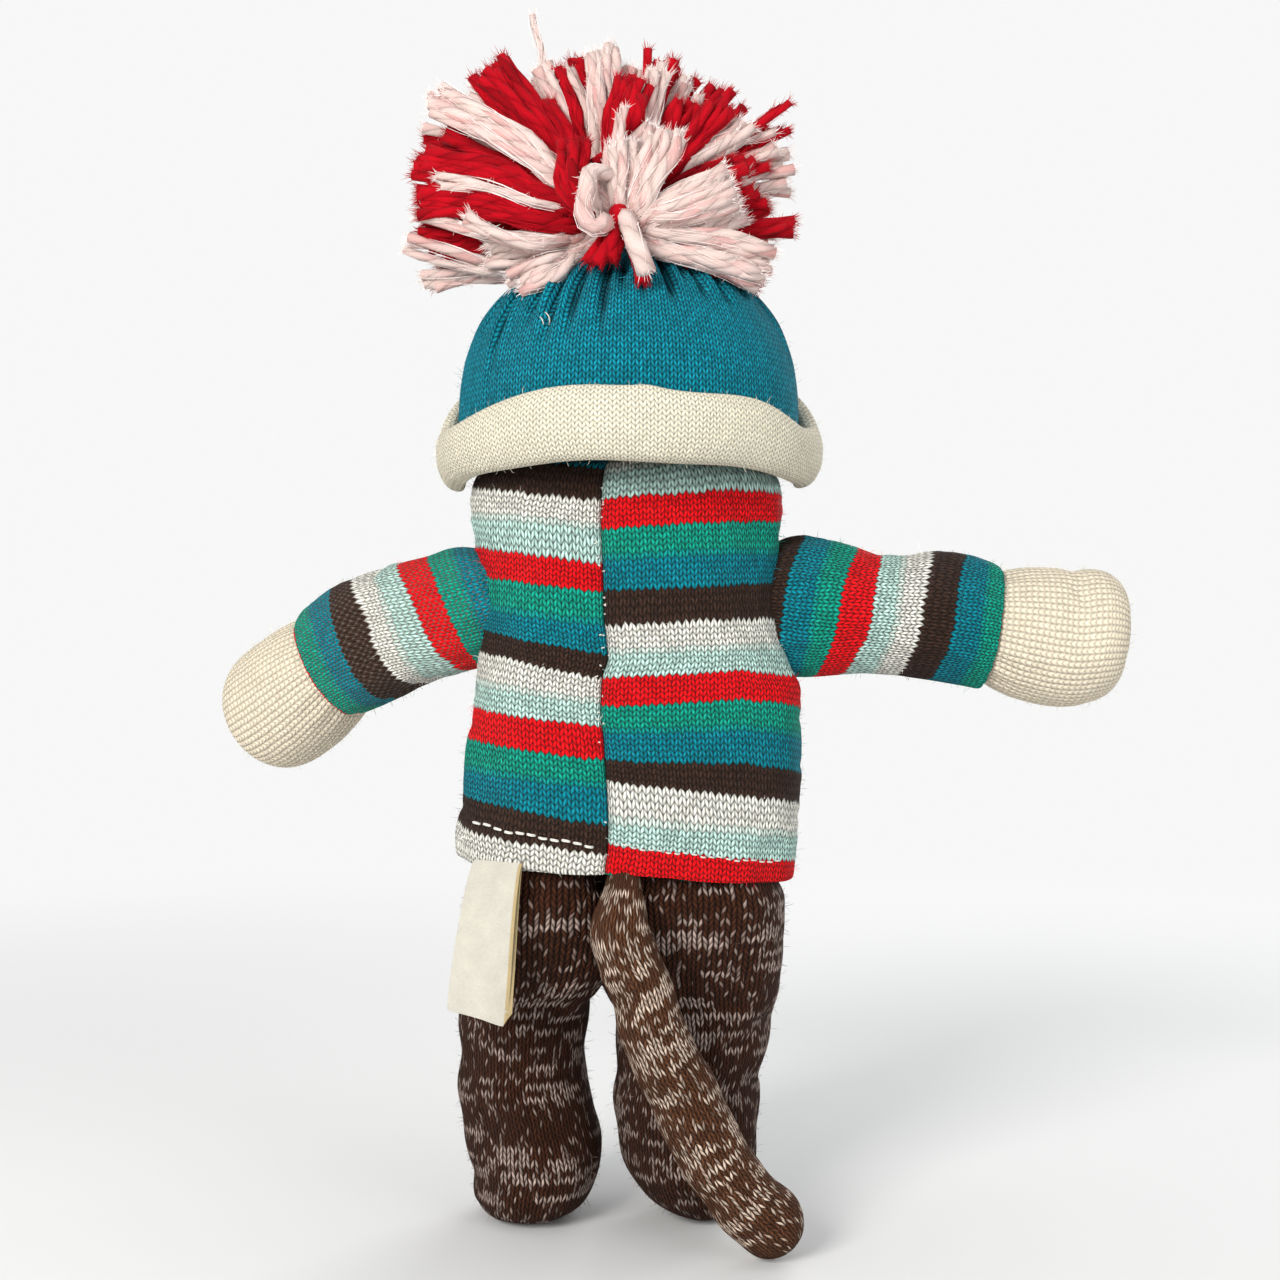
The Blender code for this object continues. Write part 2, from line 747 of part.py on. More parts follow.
def leg_levels(radius, shares):
    """Levels from the open top of the round hip down to the sole, each with its shift."""
    levels = []
    for angle in hip_ring_angles:
        turn = math.radians(angle)
        size = radius * math.sin(turn)
        levels.append((HIP_HEIGHT + radius * math.cos(turn), size, size))
    shifts = [(0.0, 0.0)] * len(levels)
    for height, across, forward, wide, deep in shares:
        levels.append((HIP_HEIGHT * height, radius * wide, radius * deep))
        shifts.append((radius * across, -radius * forward))
    return levels, shifts


def leg_rings(levels, shifts, hip):
    rings = []
    for (height, wide, deep), (across, back) in zip(levels, shifts):
        flat = circle(wide, deep, height, LIMB_SIDES)
        rings.append([(hip.x + across + x, hip.y + back + y, z) for x, y, z in flat])
    return rings


def make_leg(name, hip, radius, shares, root, looks, carrier):
    outer, shifts = leg_levels(radius, shares)
    inner = offset_levels(outer, -SOCK_WALL)
    inner[0] = (outer[0][0], *inner[0][1:])
    inner[-1] = (SOCK_WALL, *inner[-1][1:])
    rings = leg_rings(outer, shifts, hip)[::-1] + leg_rings(inner, shifts, hip)
    finish(loft("leg_sock_" + name, rings, root), looks["sock"], carrier)
    core = offset_levels(outer, -SOCK_WALL - GAP)
    core[-1] = (SOCK_WALL + GAP, *core[-1][1:])
    finish(loft("leg_stuffing_" + name, leg_rings(core, shifts, hip), root), looks["filling"], carrier)


def tail_point(share):
    """A point of the tail's centre line, on a smooth curve through its named places."""
    places = [
        Vector((
            TAIL_KNOT_ACROSS - TAIL_SPREAD * spread,
            TAIL_KNOT_BEHIND - TAIL_LEAN * lean,
            TAIL_KNOT_HEIGHT - TAIL_DROP * drop,
        ))
        for spread, lean, drop in tail_path_shares
    ]
    spans = len(places) - 1
    index = min(int(share * spans), spans - 1)
    part = share * spans - index
    before, start, end, after = (places[min(max(index + step, 0), spans)] for step in (-1, 0, 1, 2))
    bend = 2 * before - 5 * start + 4 * end - after
    swing = 3 * (start - end) + after - before
    return (2 * start + (end - before) * part + bend * part**2 + swing * part**3) / 2


def tail_length():
    steps = len(tail_path_shares) * LIMB_SIDES
    points = [tail_point(step / steps) for step in range(steps + 1)]
    return sum((b - a).length for a, b in zip(points, points[1:]))


def tail_frame(share):
    """The centre line's point and its two cross directions."""
    share = min(max(share, 0), 1)
    nudge = 1 / (len(tail_path_shares) * LIMB_SIDES)
    low = max(share - nudge, 0)
    along = (tail_point(min(share + nudge, 1)) - tail_point(low)).normalized()
    across = along.cross(Vector((0, 1, 0))).normalized()
    return tail_point(share), along, across, along.cross(across)


def tail_levels():
    """Levels measured along the centre line: the round root, the tube and the rounded tip."""
    length = tail_length()
    levels = []
    for angle in tail_root_ring_angles:
        turn = math.radians(angle)
        radius = TAIL_ROOT_RADIUS * math.sin(turn)
        levels.append((TAIL_ROOT_RADIUS * math.cos(turn), radius, radius))
    for share, radius in tail_radius_shares:
        levels.append((length * share, TAIL_RADIUS * radius, TAIL_RADIUS * radius))
    for angle in tail_tip_angles:
        turn = math.radians(angle)
        radius = TAIL_RADIUS * math.cos(turn)
        levels.append((length + TAIL_RADIUS * math.sin(turn), radius, radius))
    return levels


def tail_rings(levels):
    length = tail_length()
    rings = []
    for along, wide, deep in levels:
        point, forward, across, back = tail_frame(along / length)
        beyond = min(along, 0) + max(along - length, 0)
        middle = point + forward * beyond
        angles = [math.tau * step / TAIL_SIDES for step in range(TAIL_SIDES)]
        rings.append([middle + across * wide * math.cos(angle) + back * deep * math.sin(angle)
                      for angle in angles])
    return rings


def make_tail(root, looks, carrier, knot_carrier, knot):
    facets = math.cos(math.pi / 8) * math.cos(math.pi / TAIL_SIDES)
    radius = (TAIL_ROOT_RADIUS - SOCK_WALL) * facets - GAP
    finish(ball("tail_gather", knot, (radius,) * 3, root, TAIL_SIDES), looks["thread"], knot_carrier)
    outer = tail_levels()
    inner = offset_levels(outer, -SOCK_WALL)
    inner[0] = (outer[0][0], *inner[0][1:])
    rings = tail_rings(outer)[::-1] + tail_rings(inner)
    finish(loft("tail_sock", rings, root), looks["tail"], carrier)
    core = [level for level in offset_levels(outer, -SOCK_WALL - GAP) if level[0] > TAIL_ROOT_RADIUS]
    finish(loft("tail_stuffing", tail_rings(core), root), looks["filling"], carrier)


def lap_cutter(root, hips):
    """The room in front of the hips that the thighs need when they swing up."""
    top = HIP_HEIGHT + max(radius for hip, radius in hips) + SEAT_PLAY
    behind = max(hip.y for hip, radius in hips)
    reach = TRUNK_HALF_WIDTH + TRUNK_HALF_DEPTH
    shape = bmesh.new()
    size = Matrix.Diagonal((2 * reach, reach, top, 1.0))
    middle = Matrix.Translation((0, behind - reach / 2, top / 2))
    bmesh.ops.create_cube(shape, size=1.0, matrix=middle @ size)
    return as_cutter(new_object("lap_room", shape, root))


def seat(name, center, radius, root):
    """The hollow that a round end of a given radius turns in."""
    return as_cutter(ball(name, center, (radius + SEAT_PLAY,) * 3, root))


def make_looks():
    return {
        "sock": cloth("brown_marl_knit", (0.115, 0.072, 0.048), 0.92),
        "tail": cloth("light_brown_marl_knit", (0.200, 0.130, 0.085), 0.92),
        "sweater": cloth("striped_knit", (0.045, 0.300, 0.330), 0.90),
        "hat": cloth("blue_knit", (0.030, 0.200, 0.270), 0.90),
        "cream": cloth("cream_knit", (0.780, 0.690, 0.560), 0.92),
        "red": cloth("red_yarn", (0.560, 0.030, 0.045), 0.88),
        "thread": cloth("dark_thread", (0.050, 0.035, 0.030), 0.85),
        "filling": cloth("white_filling", (0.830, 0.820, 0.790), 0.95),
        "button": cloth("black_button", (0.015, 0.014, 0.014), 0.30),
        "ribbon": cloth("cream_ribbon", (0.720, 0.640, 0.480), 0.70),
    }


def make_pivots(root):
    neck = (0, 0, NECK_HEIGHT)
    tail_knot = (TAIL_KNOT_ACROSS, TAIL_KNOT_BEHIND, TAIL_KNOT_HEIGHT)
    made = {}
    made["neck"] = pivot("neck_pivot", neck, root)
    made["head"] = pivot("head_pivot", neck, made["neck"])
    made["knot"] = pivot("knot_pivot", knot_center(), made["head"])
    made["pompom"] = pivot("pompom_pivot", knot_center(), made["knot"])
    made["gather"] = pivot("gather_pivot", tail_knot, root)
    made["tail"] = pivot("tail_pivot", tail_knot, made["gather"])
    made["label"] = pivot("label_pivot", label_place(), root)
    for side, name in ((1, "left"), (-1, "right")):
        made["wad_" + name] = pivot("arm_root_pivot_" + name, shoulder_center(side), root)
        made["arm_" + name] = pivot("arm_pivot_" + name, shoulder_center(side), made["wad_" + name])
    made["leg_left"] = pivot("leg_pivot_left", (LEFT_HIP_ACROSS, -LEFT_HIP_FORWARD, HIP_HEIGHT), root)
    made["leg_right"] = pivot("leg_pivot_right", (RIGHT_HIP_ACROSS, -RIGHT_HIP_FORWARD, HIP_HEIGHT), root)
    return made


def center_over_origin(root):
    """Slides the doll so that the middle of its bounding box in plan is at the origin."""
    bpy.context.view_layer.update()
    graph = bpy.context.evaluated_depsgraph_get()
    corners = []
    for made in bpy.context.scene.objects:
        if made.type == "MESH" and not made.hide_render:
            whole = made.evaluated_get(graph)
            corners += [whole.matrix_world @ Vector(corner) for corner in whole.bound_box]
    middle = [(min(c[axis] for c in corners) + max(c[axis] for c in corners)) / 2 for axis in (0, 1)]
    root.location = (-middle[0], -middle[1], 0)
    bpy.context.view_layer.update()


def make_doll():
    for old in list(bpy.data.objects):
        bpy.data.objects.remove(old, do_unlink=True)
    root = bpy.data.objects.new("doll_frame", None)
    bpy.context.scene.collection.objects.link(root)
    looks = make_looks()
    pivots = make_pivots(root)
    left_hip = Vector((LEFT_HIP_ACROSS, -LEFT_HIP_FORWARD, HIP_HEIGHT))
    right_hip = Vector((RIGHT_HIP_ACROSS, -RIGHT_HIP_FORWARD, HIP_HEIGHT))
    neck = Vector((0, 0, NECK_HEIGHT))
    tail_knot = Vector((TAIL_KNOT_ACROSS, TAIL_KNOT_BEHIND, TAIL_KNOT_HEIGHT))
    neck_seat = seat("neck_seat", neck, NECK_RADIUS, root)
    shoulder_seats = [
        seat("shoulder_seat_left", shoulder_center(1), SHOULDER_RADIUS, root),
        seat("shoulder_seat_right", shoulder_center(-1), SHOULDER_RADIUS, root),
    ]
    hip_seats = [
        seat("hip_seat_left", left_hip, LEFT_HIP_RADIUS, root),
        seat("hip_seat_right", right_hip, RIGHT_HIP_RADIUS, root),
    ]
    tail_seat = seat("tail_seat", tail_knot, TAIL_ROOT_RADIUS, root)
    lap = lap_cutter(root, ((left_hip, LEFT_HIP_RADIUS), (right_hip, RIGHT_HIP_RADIUS)))
    trunk_cutters = [*shoulder_seats, *hip_seats, neck_seat, tail_seat, lap]
    make_trunk(root, looks["sock"], looks["filling"], trunk_cutters)
    make_sweater(root, looks["sweater"], shoulder_seats)
    make_collar(root, looks["sweater"])
    make_label(root, looks["ribbon"], pivots["label"])
    neck_ball = ball("neck_stuffing", neck, (NECK_RADIUS,) * 3, root, LIMB_SIDES)
    finish(neck_ball, looks["filling"], pivots["neck"])
    make_head(root, looks["sock"], looks["filling"], pivots["head"], neck_seat)
    make_face(root, looks, pivots["head"])
    make_crown(root, looks["hat"], pivots["head"])
    make_cuff(root, looks["cream"], pivots["head"])
    knot = ball("pompom_tie", knot_center(), (KNOT_RADIUS,) * 3, root, TAIL_SIDES)
    finish(knot, looks["thread"], pivots["knot"])
    knot_seat = seat("knot_seat", knot_center(), KNOT_RADIUS, root)
    make_pompom(root, looks["red"], pivots["pompom"], knot_seat)
    arms = (
        ("left", 1, LEFT_ARM_DOWN, LEFT_ARM_TURN),
        ("right", -1, RIGHT_ARM_DOWN, RIGHT_ARM_TURN),
    )
    for name, side, down, turn in arms:
        make_arm(name, side, down, turn, root, looks, pivots["arm_" + name], pivots["wad_" + name])
    legs = (
        ("left", left_hip, LEFT_HIP_RADIUS, left_leg_shares),
        ("right", right_hip, RIGHT_HIP_RADIUS, right_leg_shares),
    )
    for name, hip, radius, shares in legs:
        make_leg(name, hip, radius, shares, root, looks, pivots["leg_" + name])
    make_tail(root, looks, pivots["tail"], pivots["gather"], tail_knot)
    center_over_origin(root)


make_doll()
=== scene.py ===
import json
import math
import random

import bpy
import numpy as np
from mathutils import Matrix, Vector


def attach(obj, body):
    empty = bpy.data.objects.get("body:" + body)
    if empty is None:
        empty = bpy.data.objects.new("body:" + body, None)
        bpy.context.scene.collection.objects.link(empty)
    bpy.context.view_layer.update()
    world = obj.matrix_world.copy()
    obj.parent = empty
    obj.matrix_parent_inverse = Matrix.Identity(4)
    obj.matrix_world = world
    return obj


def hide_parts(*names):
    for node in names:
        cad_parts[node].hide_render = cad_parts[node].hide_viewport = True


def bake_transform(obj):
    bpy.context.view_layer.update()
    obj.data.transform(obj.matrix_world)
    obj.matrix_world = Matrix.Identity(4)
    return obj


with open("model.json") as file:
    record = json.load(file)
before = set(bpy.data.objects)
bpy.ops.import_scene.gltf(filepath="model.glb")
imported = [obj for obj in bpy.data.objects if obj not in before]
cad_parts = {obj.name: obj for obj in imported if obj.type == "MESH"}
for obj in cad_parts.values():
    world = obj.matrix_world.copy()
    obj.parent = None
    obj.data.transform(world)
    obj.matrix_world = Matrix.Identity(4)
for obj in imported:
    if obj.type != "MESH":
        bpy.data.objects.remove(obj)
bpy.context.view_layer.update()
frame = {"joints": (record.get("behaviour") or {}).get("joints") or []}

neckJoint = [joint for joint in frame["joints"] if joint["name"] == "neck_turn"][0]
dollShift = Vector((*neckJoint["pos_m"][:2], 0))  # the doll's own middle line
mm = 0.001
sides = {"left": 1, "right": -1}


# small helpers for shapes

def smoothLine(*points):
    # a soft curve through (place, value) points, level beyond its ends
    points = sorted(points)
    xs = np.array([point[0] for point in points], float)
    ys = np.array([point[1] for point in points], float)
    steps = np.diff(ys) / np.diff(xs)
    slopes = np.zeros(len(xs))
    for i in range(1, len(xs) - 1):
        if steps[i - 1] * steps[i] > 0:
            slopes[i] = 2 * steps[i - 1] * steps[i] / (steps[i - 1] + steps[i])
    slopes[0], slopes[-1] = steps[0], steps[-1]

    def value(x):
        x = np.clip(np.asarray(x, float), xs[0], xs[-1])
        i = np.clip(np.searchsorted(xs, x) - 1, 0, len(xs) - 2)
        span = xs[i + 1] - xs[i]
        t = (x - xs[i]) / span
        rise = ys[i] * (2 * t**3 - 3 * t**2 + 1) + ys[i + 1] * (3 * t**2 - 2 * t**3)
        lean = slopes[i] * (t**3 - 2 * t**2 + t) + slopes[i + 1] * (t**3 - t**2)
        return rise + lean * span

    return value


def unit(way):
    return way / np.maximum(np.linalg.norm(way, axis=-1, keepdims=True), 1e-9)


def walked(points):
    # how far along a route each of its points lies
    return np.concatenate([[0], np.cumsum(np.linalg.norm(np.diff(points, axis=0), axis=1))])


def turnFrom(turn, start):
    return np.angle(np.exp(1j * (turn - start)))


def softStep(low, high, x):
    t = np.clip((x - low) / (high - low), 0, 1)
    return t * t * (3 - 2 * t)


def ripple(x, y, seed, waves=5):
    # a gentle unevenness, the same on each run
    picked = random.Random(seed)
    total = np.zeros(np.broadcast(x, y).shape)
    for _ in range(waves):
        a, b, c = picked.uniform(-1, 1), picked.uniform(-1, 1), picked.uniform(0, math.tau)
        total = total + np.sin(a * x + b * y + c)
    return total / waves


def restPiece(piece):
    # puts the place into the mesh and slides the doll onto the frame
    bpy.context.view_layer.update()
    piece.data.transform(Matrix.Translation(dollShift) @ piece.matrix_world)
    piece.matrix_world = Matrix.Identity(4)
    piece.data.update()
    return piece


def onlySelect(piece):
    bpy.ops.object.select_all(action="DESELECT")
    piece.hide_viewport = False
    piece.select_set(True)
    bpy.context.view_layer.objects.active = piece


def applyAll(piece):
    onlySelect(piece)
    for modifier in list(piece.modifiers):
        bpy.ops.object.modifier_apply(modifier=modifier.name)


def vertexPlaces(piece):
    places = np.empty(len(piece.data.vertices) * 3, np.float32)
    piece.data.vertices.foreach_get("co", places)
    return places.reshape(-1, 3).astype(float)


def movePoints(piece, places):
    piece.data.vertices.foreach_set("co", places.astype(np.float32).ravel())
    piece.data.update()


def newPiece(name, places, faces, look, counts=None, layout="stitches"):
    # a piece from points in mm, with a map of its own where counts are given
    mesh = bpy.data.meshes.new(name)
    mesh.from_pydata([tuple(place * mm) for place in places], [], faces)
    if counts is not None:
        mesh.uv_layers.new(name=layout).data.foreach_set("uv", np.array(counts, np.float32).ravel())
    mesh.materials.append(look)
    piece = bpy.data.objects.new(name, mesh)
    bpy.context.scene.collection.objects.link(piece)
    return piece


def knitSheet(name, columns, rows, shape, stitches, look):
    # a grid laid out over the piece. shape gives each point and stitches its wale and course
    bpy.ops.object.select_all(action="DESELECT")
    bpy.ops.mesh.primitive_grid_add(x_subdivisions=columns, y_subdivisions=rows, size=1)
    piece = bpy.context.object
    piece.name = piece.data.name = name
    flat = vertexPlaces(piece)[:, :2] + 0.5
    across, up = flat[:, 0], flat[:, 1]
    movePoints(piece, np.stack(shape(across, up), 1) * mm)
    counts = np.stack(stitches(across, up), 1)
    layer = piece.data.uv_layers[0]
    layer.name = "stitches"
    corners = np.empty(len(piece.data.loops), np.int32)
    piece.data.loops.foreach_get("vertex_index", corners)
    layer.data.foreach_set("uv", counts[corners].astype(np.float32).ravel())
    bpy.ops.object.mode_set(mode="EDIT")
    bpy.ops.mesh.select_all(action="SELECT")
    bpy.ops.mesh.remove_doubles(threshold=0.00002)
    bpy.ops.mesh.dissolve_degenerate(threshold=0.00001)
    bpy.ops.object.mode_set(mode="OBJECT")
    piece.data.materials.clear()
    piece.data.materials.append(look)
    piece.data.shade_smooth()
    return piece


def faceOut(piece, inside):
    # turns the skin round if most of it looks at the point inside it
    middle = Vector(inside) * mm
    away = sum((face.center - middle).dot(face.normal) * face.area for face in piece.data.polygons)
    if away < 0:
        onlySelect(piece)
        bpy.ops.object.mode_set(mode="EDIT")
        bpy.ops.mesh.select_all(action="SELECT")
        bpy.ops.mesh.flip_normals()
        bpy.ops.object.mode_set(mode="OBJECT")
    return piece


stuffing = {
    "quality": 6, "mass": 0.1, "tension_stiffness": 8, "compression_stiffness": 8, "shear_stiffness": 3,
    "bending_stiffness": 0.05, "use_pressure": True, "vertex_group_mass": "sewn",
}


def stuffPiece(piece, held, puff):
    # cloth with the stuffing's pressure inside it. held is how fast each point is sewn down
    scene = bpy.context.scene
    before = vertexPlaces(piece)
    sewn = piece.vertex_groups.new(name="sewn")
    for index, share in enumerate(held(before / mm)):
        if share > 0:
            sewn.add([index], float(min(share, 1)), "REPLACE")
    cloth = piece.modifiers.new("stuffing", "CLOTH")
    for setting, value in stuffing.items():
        setattr(cloth.settings, setting, value)
    cloth.settings.uniform_pressure_force = puff["pressure"]
    cloth.settings.shrink_min = -puff["slack"]
    cloth.settings.effector_weights.gravity = 0
    cloth.collision_settings.use_collision = False
    cloth.point_cache.frame_start, cloth.point_cache.frame_end = 1, puff["frames"]
    for step in range(1, puff["frames"] + 1):
        scene.frame_set(step)
    applyAll(piece)
    scene.frame_set(1)
    moved = vertexPlaces(piece) - before
    far = np.linalg.norm(moved, axis=1, keepdims=True)
    most = puff["cap"] * mm
    moved = moved * (most * np.tanh(far / most) / np.maximum(far, 1e-9))
    movePoints(piece, before + moved)
    piece.vertex_groups.clear()
    print("  puffed", piece.name, "by up to", round(float(np.abs(moved).max()) / mm, 2), "mm")
    return piece


def refine(piece):
    modifier = piece.modifiers.new("finer", "SUBSURF")
    modifier.levels = modifier.render_levels = 1
    modifier.uv_smooth = "NONE"
    modifier.boundary_smooth = "PRESERVE_CORNERS"
    applyAll(piece)
    piece.data.shade_smooth()
    return piece


def hold(piece, body, slot=None, *replaced, fill=None):
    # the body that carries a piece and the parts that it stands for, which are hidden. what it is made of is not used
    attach(piece, body)
    if replaced:
        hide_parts(*replaced)


def settle(piece, *said, **saidToo):
    hold(restPiece(piece), *said, **saidToo)


# small helpers for materials

class Reading:
    # a socket's value, so that shader maths can be written as sums
    def __init__(self, nodes, socket):
        self.nodes, self.socket = nodes, socket

    def clamped(self):
        return self.nodes.node("ShaderNodeClamp", {}, {"Value": self})


def sumMethod(operation, reflected):
    def method(self, *others):
        values = (*others, self) if reflected else (self, *others)
        return self.nodes.sum(operation, *values)

    return method


for method, operation in {"add": "ADD", "sub": "SUBTRACT", "mul": "MULTIPLY", "truediv": "DIVIDE"}.items():
    setattr(Reading, f"__{method}__", sumMethod(operation, False))
    setattr(Reading, f"__r{method}__", sumMethod(operation, True))
for method, operation in {
    "__pow__": "POWER", "__abs__": "ABSOLUTE", "__gt__": "GREATER_THAN", "__lt__": "LESS_THAN",
    "whole": "FLOOR", "part": "FRACT",
}.items():
    setattr(Reading, method, sumMethod(operation, False))


class Nodes:
    # a node tree and the one way its nodes are made
    def __init__(self, owner):
        owner.use_nodes = True
        self.tree = owner.node_tree

    def node(self, kind, settings, sockets, out=0):
        made = self.tree.nodes.new(kind)
        for setting, value in settings.items():
            if setting == "stops":
                ramp = made.color_ramp
                ramp.interpolation = "CONSTANT"
                while len(ramp.elements) < len(value):
                    ramp.elements.new(1.0)
                for element, (place, colour) in zip(ramp.elements, value):
                    element.position, element.color = place, (*colour, 1)
            else:
                setattr(made, setting, value)
        for socket, value in sockets.items():
            self.give(made.inputs[socket], value)
        return Reading(self, made.outputs[out])

    def give(self, socket, value):
        if isinstance(value, Reading):
            self.tree.links.new(value.socket, socket)
        else:
            socket.default_value = (*value, 1) if socket.type == "RGBA" else value

    def sum(self, operation, *values):
        return self.node("ShaderNodeMath", {"operation": operation}, dict(enumerate(values)))

    def pair(self, x, y, z=0.0):
        return self.node("ShaderNodeCombineXYZ", {}, {0: x, 1: y, 2: z})

    def mixed(self, share, first, second, way="MIX"):
        settings = {"data_type": "RGBA", "blend_type": way}
        return self.node("ShaderNodeMix", settings, {0: share, 6: first, 7: second}, 2)

    def speckle(self, x, y, seed=0.0):
        return self.node("ShaderNodeTexWhiteNoise", {"noise_dimensions": "3D"}, {"Vector": self.pair(x, y, seed)})

    def cloud(self, x, y, z=0.0, detail=1.0):
        sockets = {"Vector": self.pair(x, y, z), "Scale": 1.0, "Detail": detail, "Roughness": 0.5}
        return self.node("ShaderNodeTexNoise", {"noise_dimensions": "3D"}, sockets)

    def spread(self, layout="stitches"):
        counted = self.node("ShaderNodeUVMap", {"uv_map": layout}, {})
        return [self.node("ShaderNodeSeparateXYZ", {}, {0: counted}, axis) for axis in (0, 1)]


class Look(Nodes):
    # a material round one principled shader
    def __init__(self, name, **plain):
        self.material = bpy.data.materials.new(name)
        super().__init__(self.material)
        self.shader = self.tree.nodes["Principled BSDF"]
        for socket, value in plain.items():
            self.shader.inputs[socket.replace("_", " ")].default_value = value

    def finish(self, colour, roughness, height, depth, strength=1.0):
        bump = self.node("ShaderNodeBump", {}, {"Strength": strength, "Distance": depth, "Height": height})
        self.give(self.shader.inputs["Base Color"], colour)
        self.give(self.shader.inputs["Roughness"], roughness)
        self.give(self.shader.inputs["Normal"], bump)
        return self.material


fabric = {"Sheen_Weight": 0.02, "Sheen_Roughness": 0.5, "Specular_IOR_Level": 0.06}


def knitLook(name, yarn):
    # stocking stitch. each wale is a column of V stitches, whose legs climb away from its middle
    look = Look(name, **fabric)
    wales, courses = look.spread()
    sway = look.cloud(wales * 0.4, courses * 0.4, 9.0, 1.0)
    lift = look.cloud(wales * 0.55, courses * 0.3, 4.0, 1.0)
    wales = wales + (sway - 0.5) * yarn.get("sway", 0.45)
    courses = courses + (lift - 0.5) * yarn.get("sway", 0.45) * 1.4 + look.speckle(wales.whole(), 3.0, 0.0) * 0.22
    aside = abs(wales.part() - 0.5)
    climb = courses - aside * yarn["climb"]
    row = climb.whole()
    overLeg = climb.part() * 2 - 1
    roundness = (1 - overLeg * overLeg * yarn.get("parted", 1.0)).clamped() ** 0.5
    offPeak = aside * 2 if yarn.get("ribbed") else aside * 4 - 1
    ridge = 1 - offPeak * offPeak * yarn["valley"]
    height = roundness * ridge
    leg = (wales * 2).whole()
    luck = look.speckle(leg, row, 0.3)
    fibre = look.cloud(aside * 9 + leg * 3.7, climb * 11, row * 0.37, 2.0)
    colour = yarn.get("colour")
    if "stripes" in yarn:
        share = (row / repeatRows + 0.5 / repeatRows).part()
        colour = look.node("ShaderNodeValToRGB", {"stops": yarn["stripes"]}, {0: share})
    if "fleck" in yarn:
        streak = look.cloud(wales * yarn["streakWide"], row * yarn["streakHigh"], 2.0, 2.0)
        band = look.cloud(wales * 0.035, row * 0.21, 6.0, 2.0)
        odds = (streak - yarn["streakFrom"] + (band - 0.5) * 0.55) * yarn["streakGain"]
        light = luck < odds
        faint = (look.speckle(leg, row, 7.7) < yarn["faintShare"]) * 0.45
        amount = look.sum("MAXIMUM", light, faint) * ((ridge - 0.35) * 3).clamped() * ((roundness - 0.2) * 3).clamped()
        colour = look.mixed(amount, colour, yarn["fleck"])
    # painted shade: the holes between stitches take the behind colour, which is near black where only shade shows
    # through them
    gap = ((1 - aside * 4).clamped() + (aside * 4 - 1).clamped() * 0.8) * (overLeg * overLeg * 1.5 - 0.3).clamped()
    gap = gap.clamped() * yarn.get("holes", 0.5)
    # painted shade: the colour darkens towards low down in the valleys between the yarn legs and between rows
    shade = yarn["low"] + (1 - yarn["low"]) * height
    shade = shade * (1 - yarn["uneven"] / 2 + luck * yarn["uneven"])
    shade = shade * (1 - yarn["fibre"] / 2 + fibre * yarn["fibre"])
    cast = look.cloud(wales * 0.07, courses * 0.07, 5.0, 2.0)
    shade = shade * (0.9 + cast * 0.2)
    # painted shade: darker deep in the hat's gathered folds, as the fold attribute gives it
    if "folds" in yarn:
        foldShade = look.node("ShaderNodeAttribute", {"attribute_name": "fold"}, {}, "Fac")
        shade = shade * (1 - foldShade * yarn["folds"])
    colour = look.mixed(1.0, colour, shade, "MULTIPLY")
    # painted highlight: glints where the fibres on top of each yarn leg catch the light, in a lighter copy of the
    # stitch colour
    paintedGlint = ((fibre - 0.60).clamped() * height * yarn["paintedGlint"]).clamped()
    paintedHighlight = look.mixed(0.55, yarn["paintedGlintColour"], look.mixed(1.0, colour, (2.6, 2.6, 2.6), "MULTIPLY"))
    colour = look.mixed(paintedGlint, colour, paintedHighlight)
    colour = look.mixed(gap, colour, yarn.get("behind", (0.0, 0.0, 0.0)))
    roughness = 0.92 - height * 0.14
    return look.finish(colour, roughness, height + fibre * 0.3, yarn["depth"] * mm, 0.9)


# colours, as the yarn shows them in plain light

yarnColours = {
    "brown": (0.048, 0.023, 0.0145),
    "white": (0.98, 0.96, 0.87),
    "aqua": (0.60, 0.86, 0.78),
    "paleAqua": (0.77, 0.90, 0.81),
    "red": (0.98, 0.004, 0.009),
    "green": (0.004, 0.38, 0.265),
    "seaGreen": (0.003, 0.32, 0.29),
    "teal": (0.001, 0.245, 0.32),
}
# rows of each colour, going down the sweater
stripeRows = (
    ("brown", 4),
    ("white", 4),
    ("paleAqua", 1),
    ("aqua", 4),
    ("red", 5),
    ("green", 4),
    ("seaGreen", 1),
    ("teal", 5),
)
repeatRows = sum(count for colour, count in stripeRows)


def stripeStops():
    # counted upwards, so the last colour of the list comes first
    stops, row = [], 0
    for colour, count in reversed(stripeRows):
        stops.append((row / repeatRows, yarnColours[colour]))
        row += count
    return stops


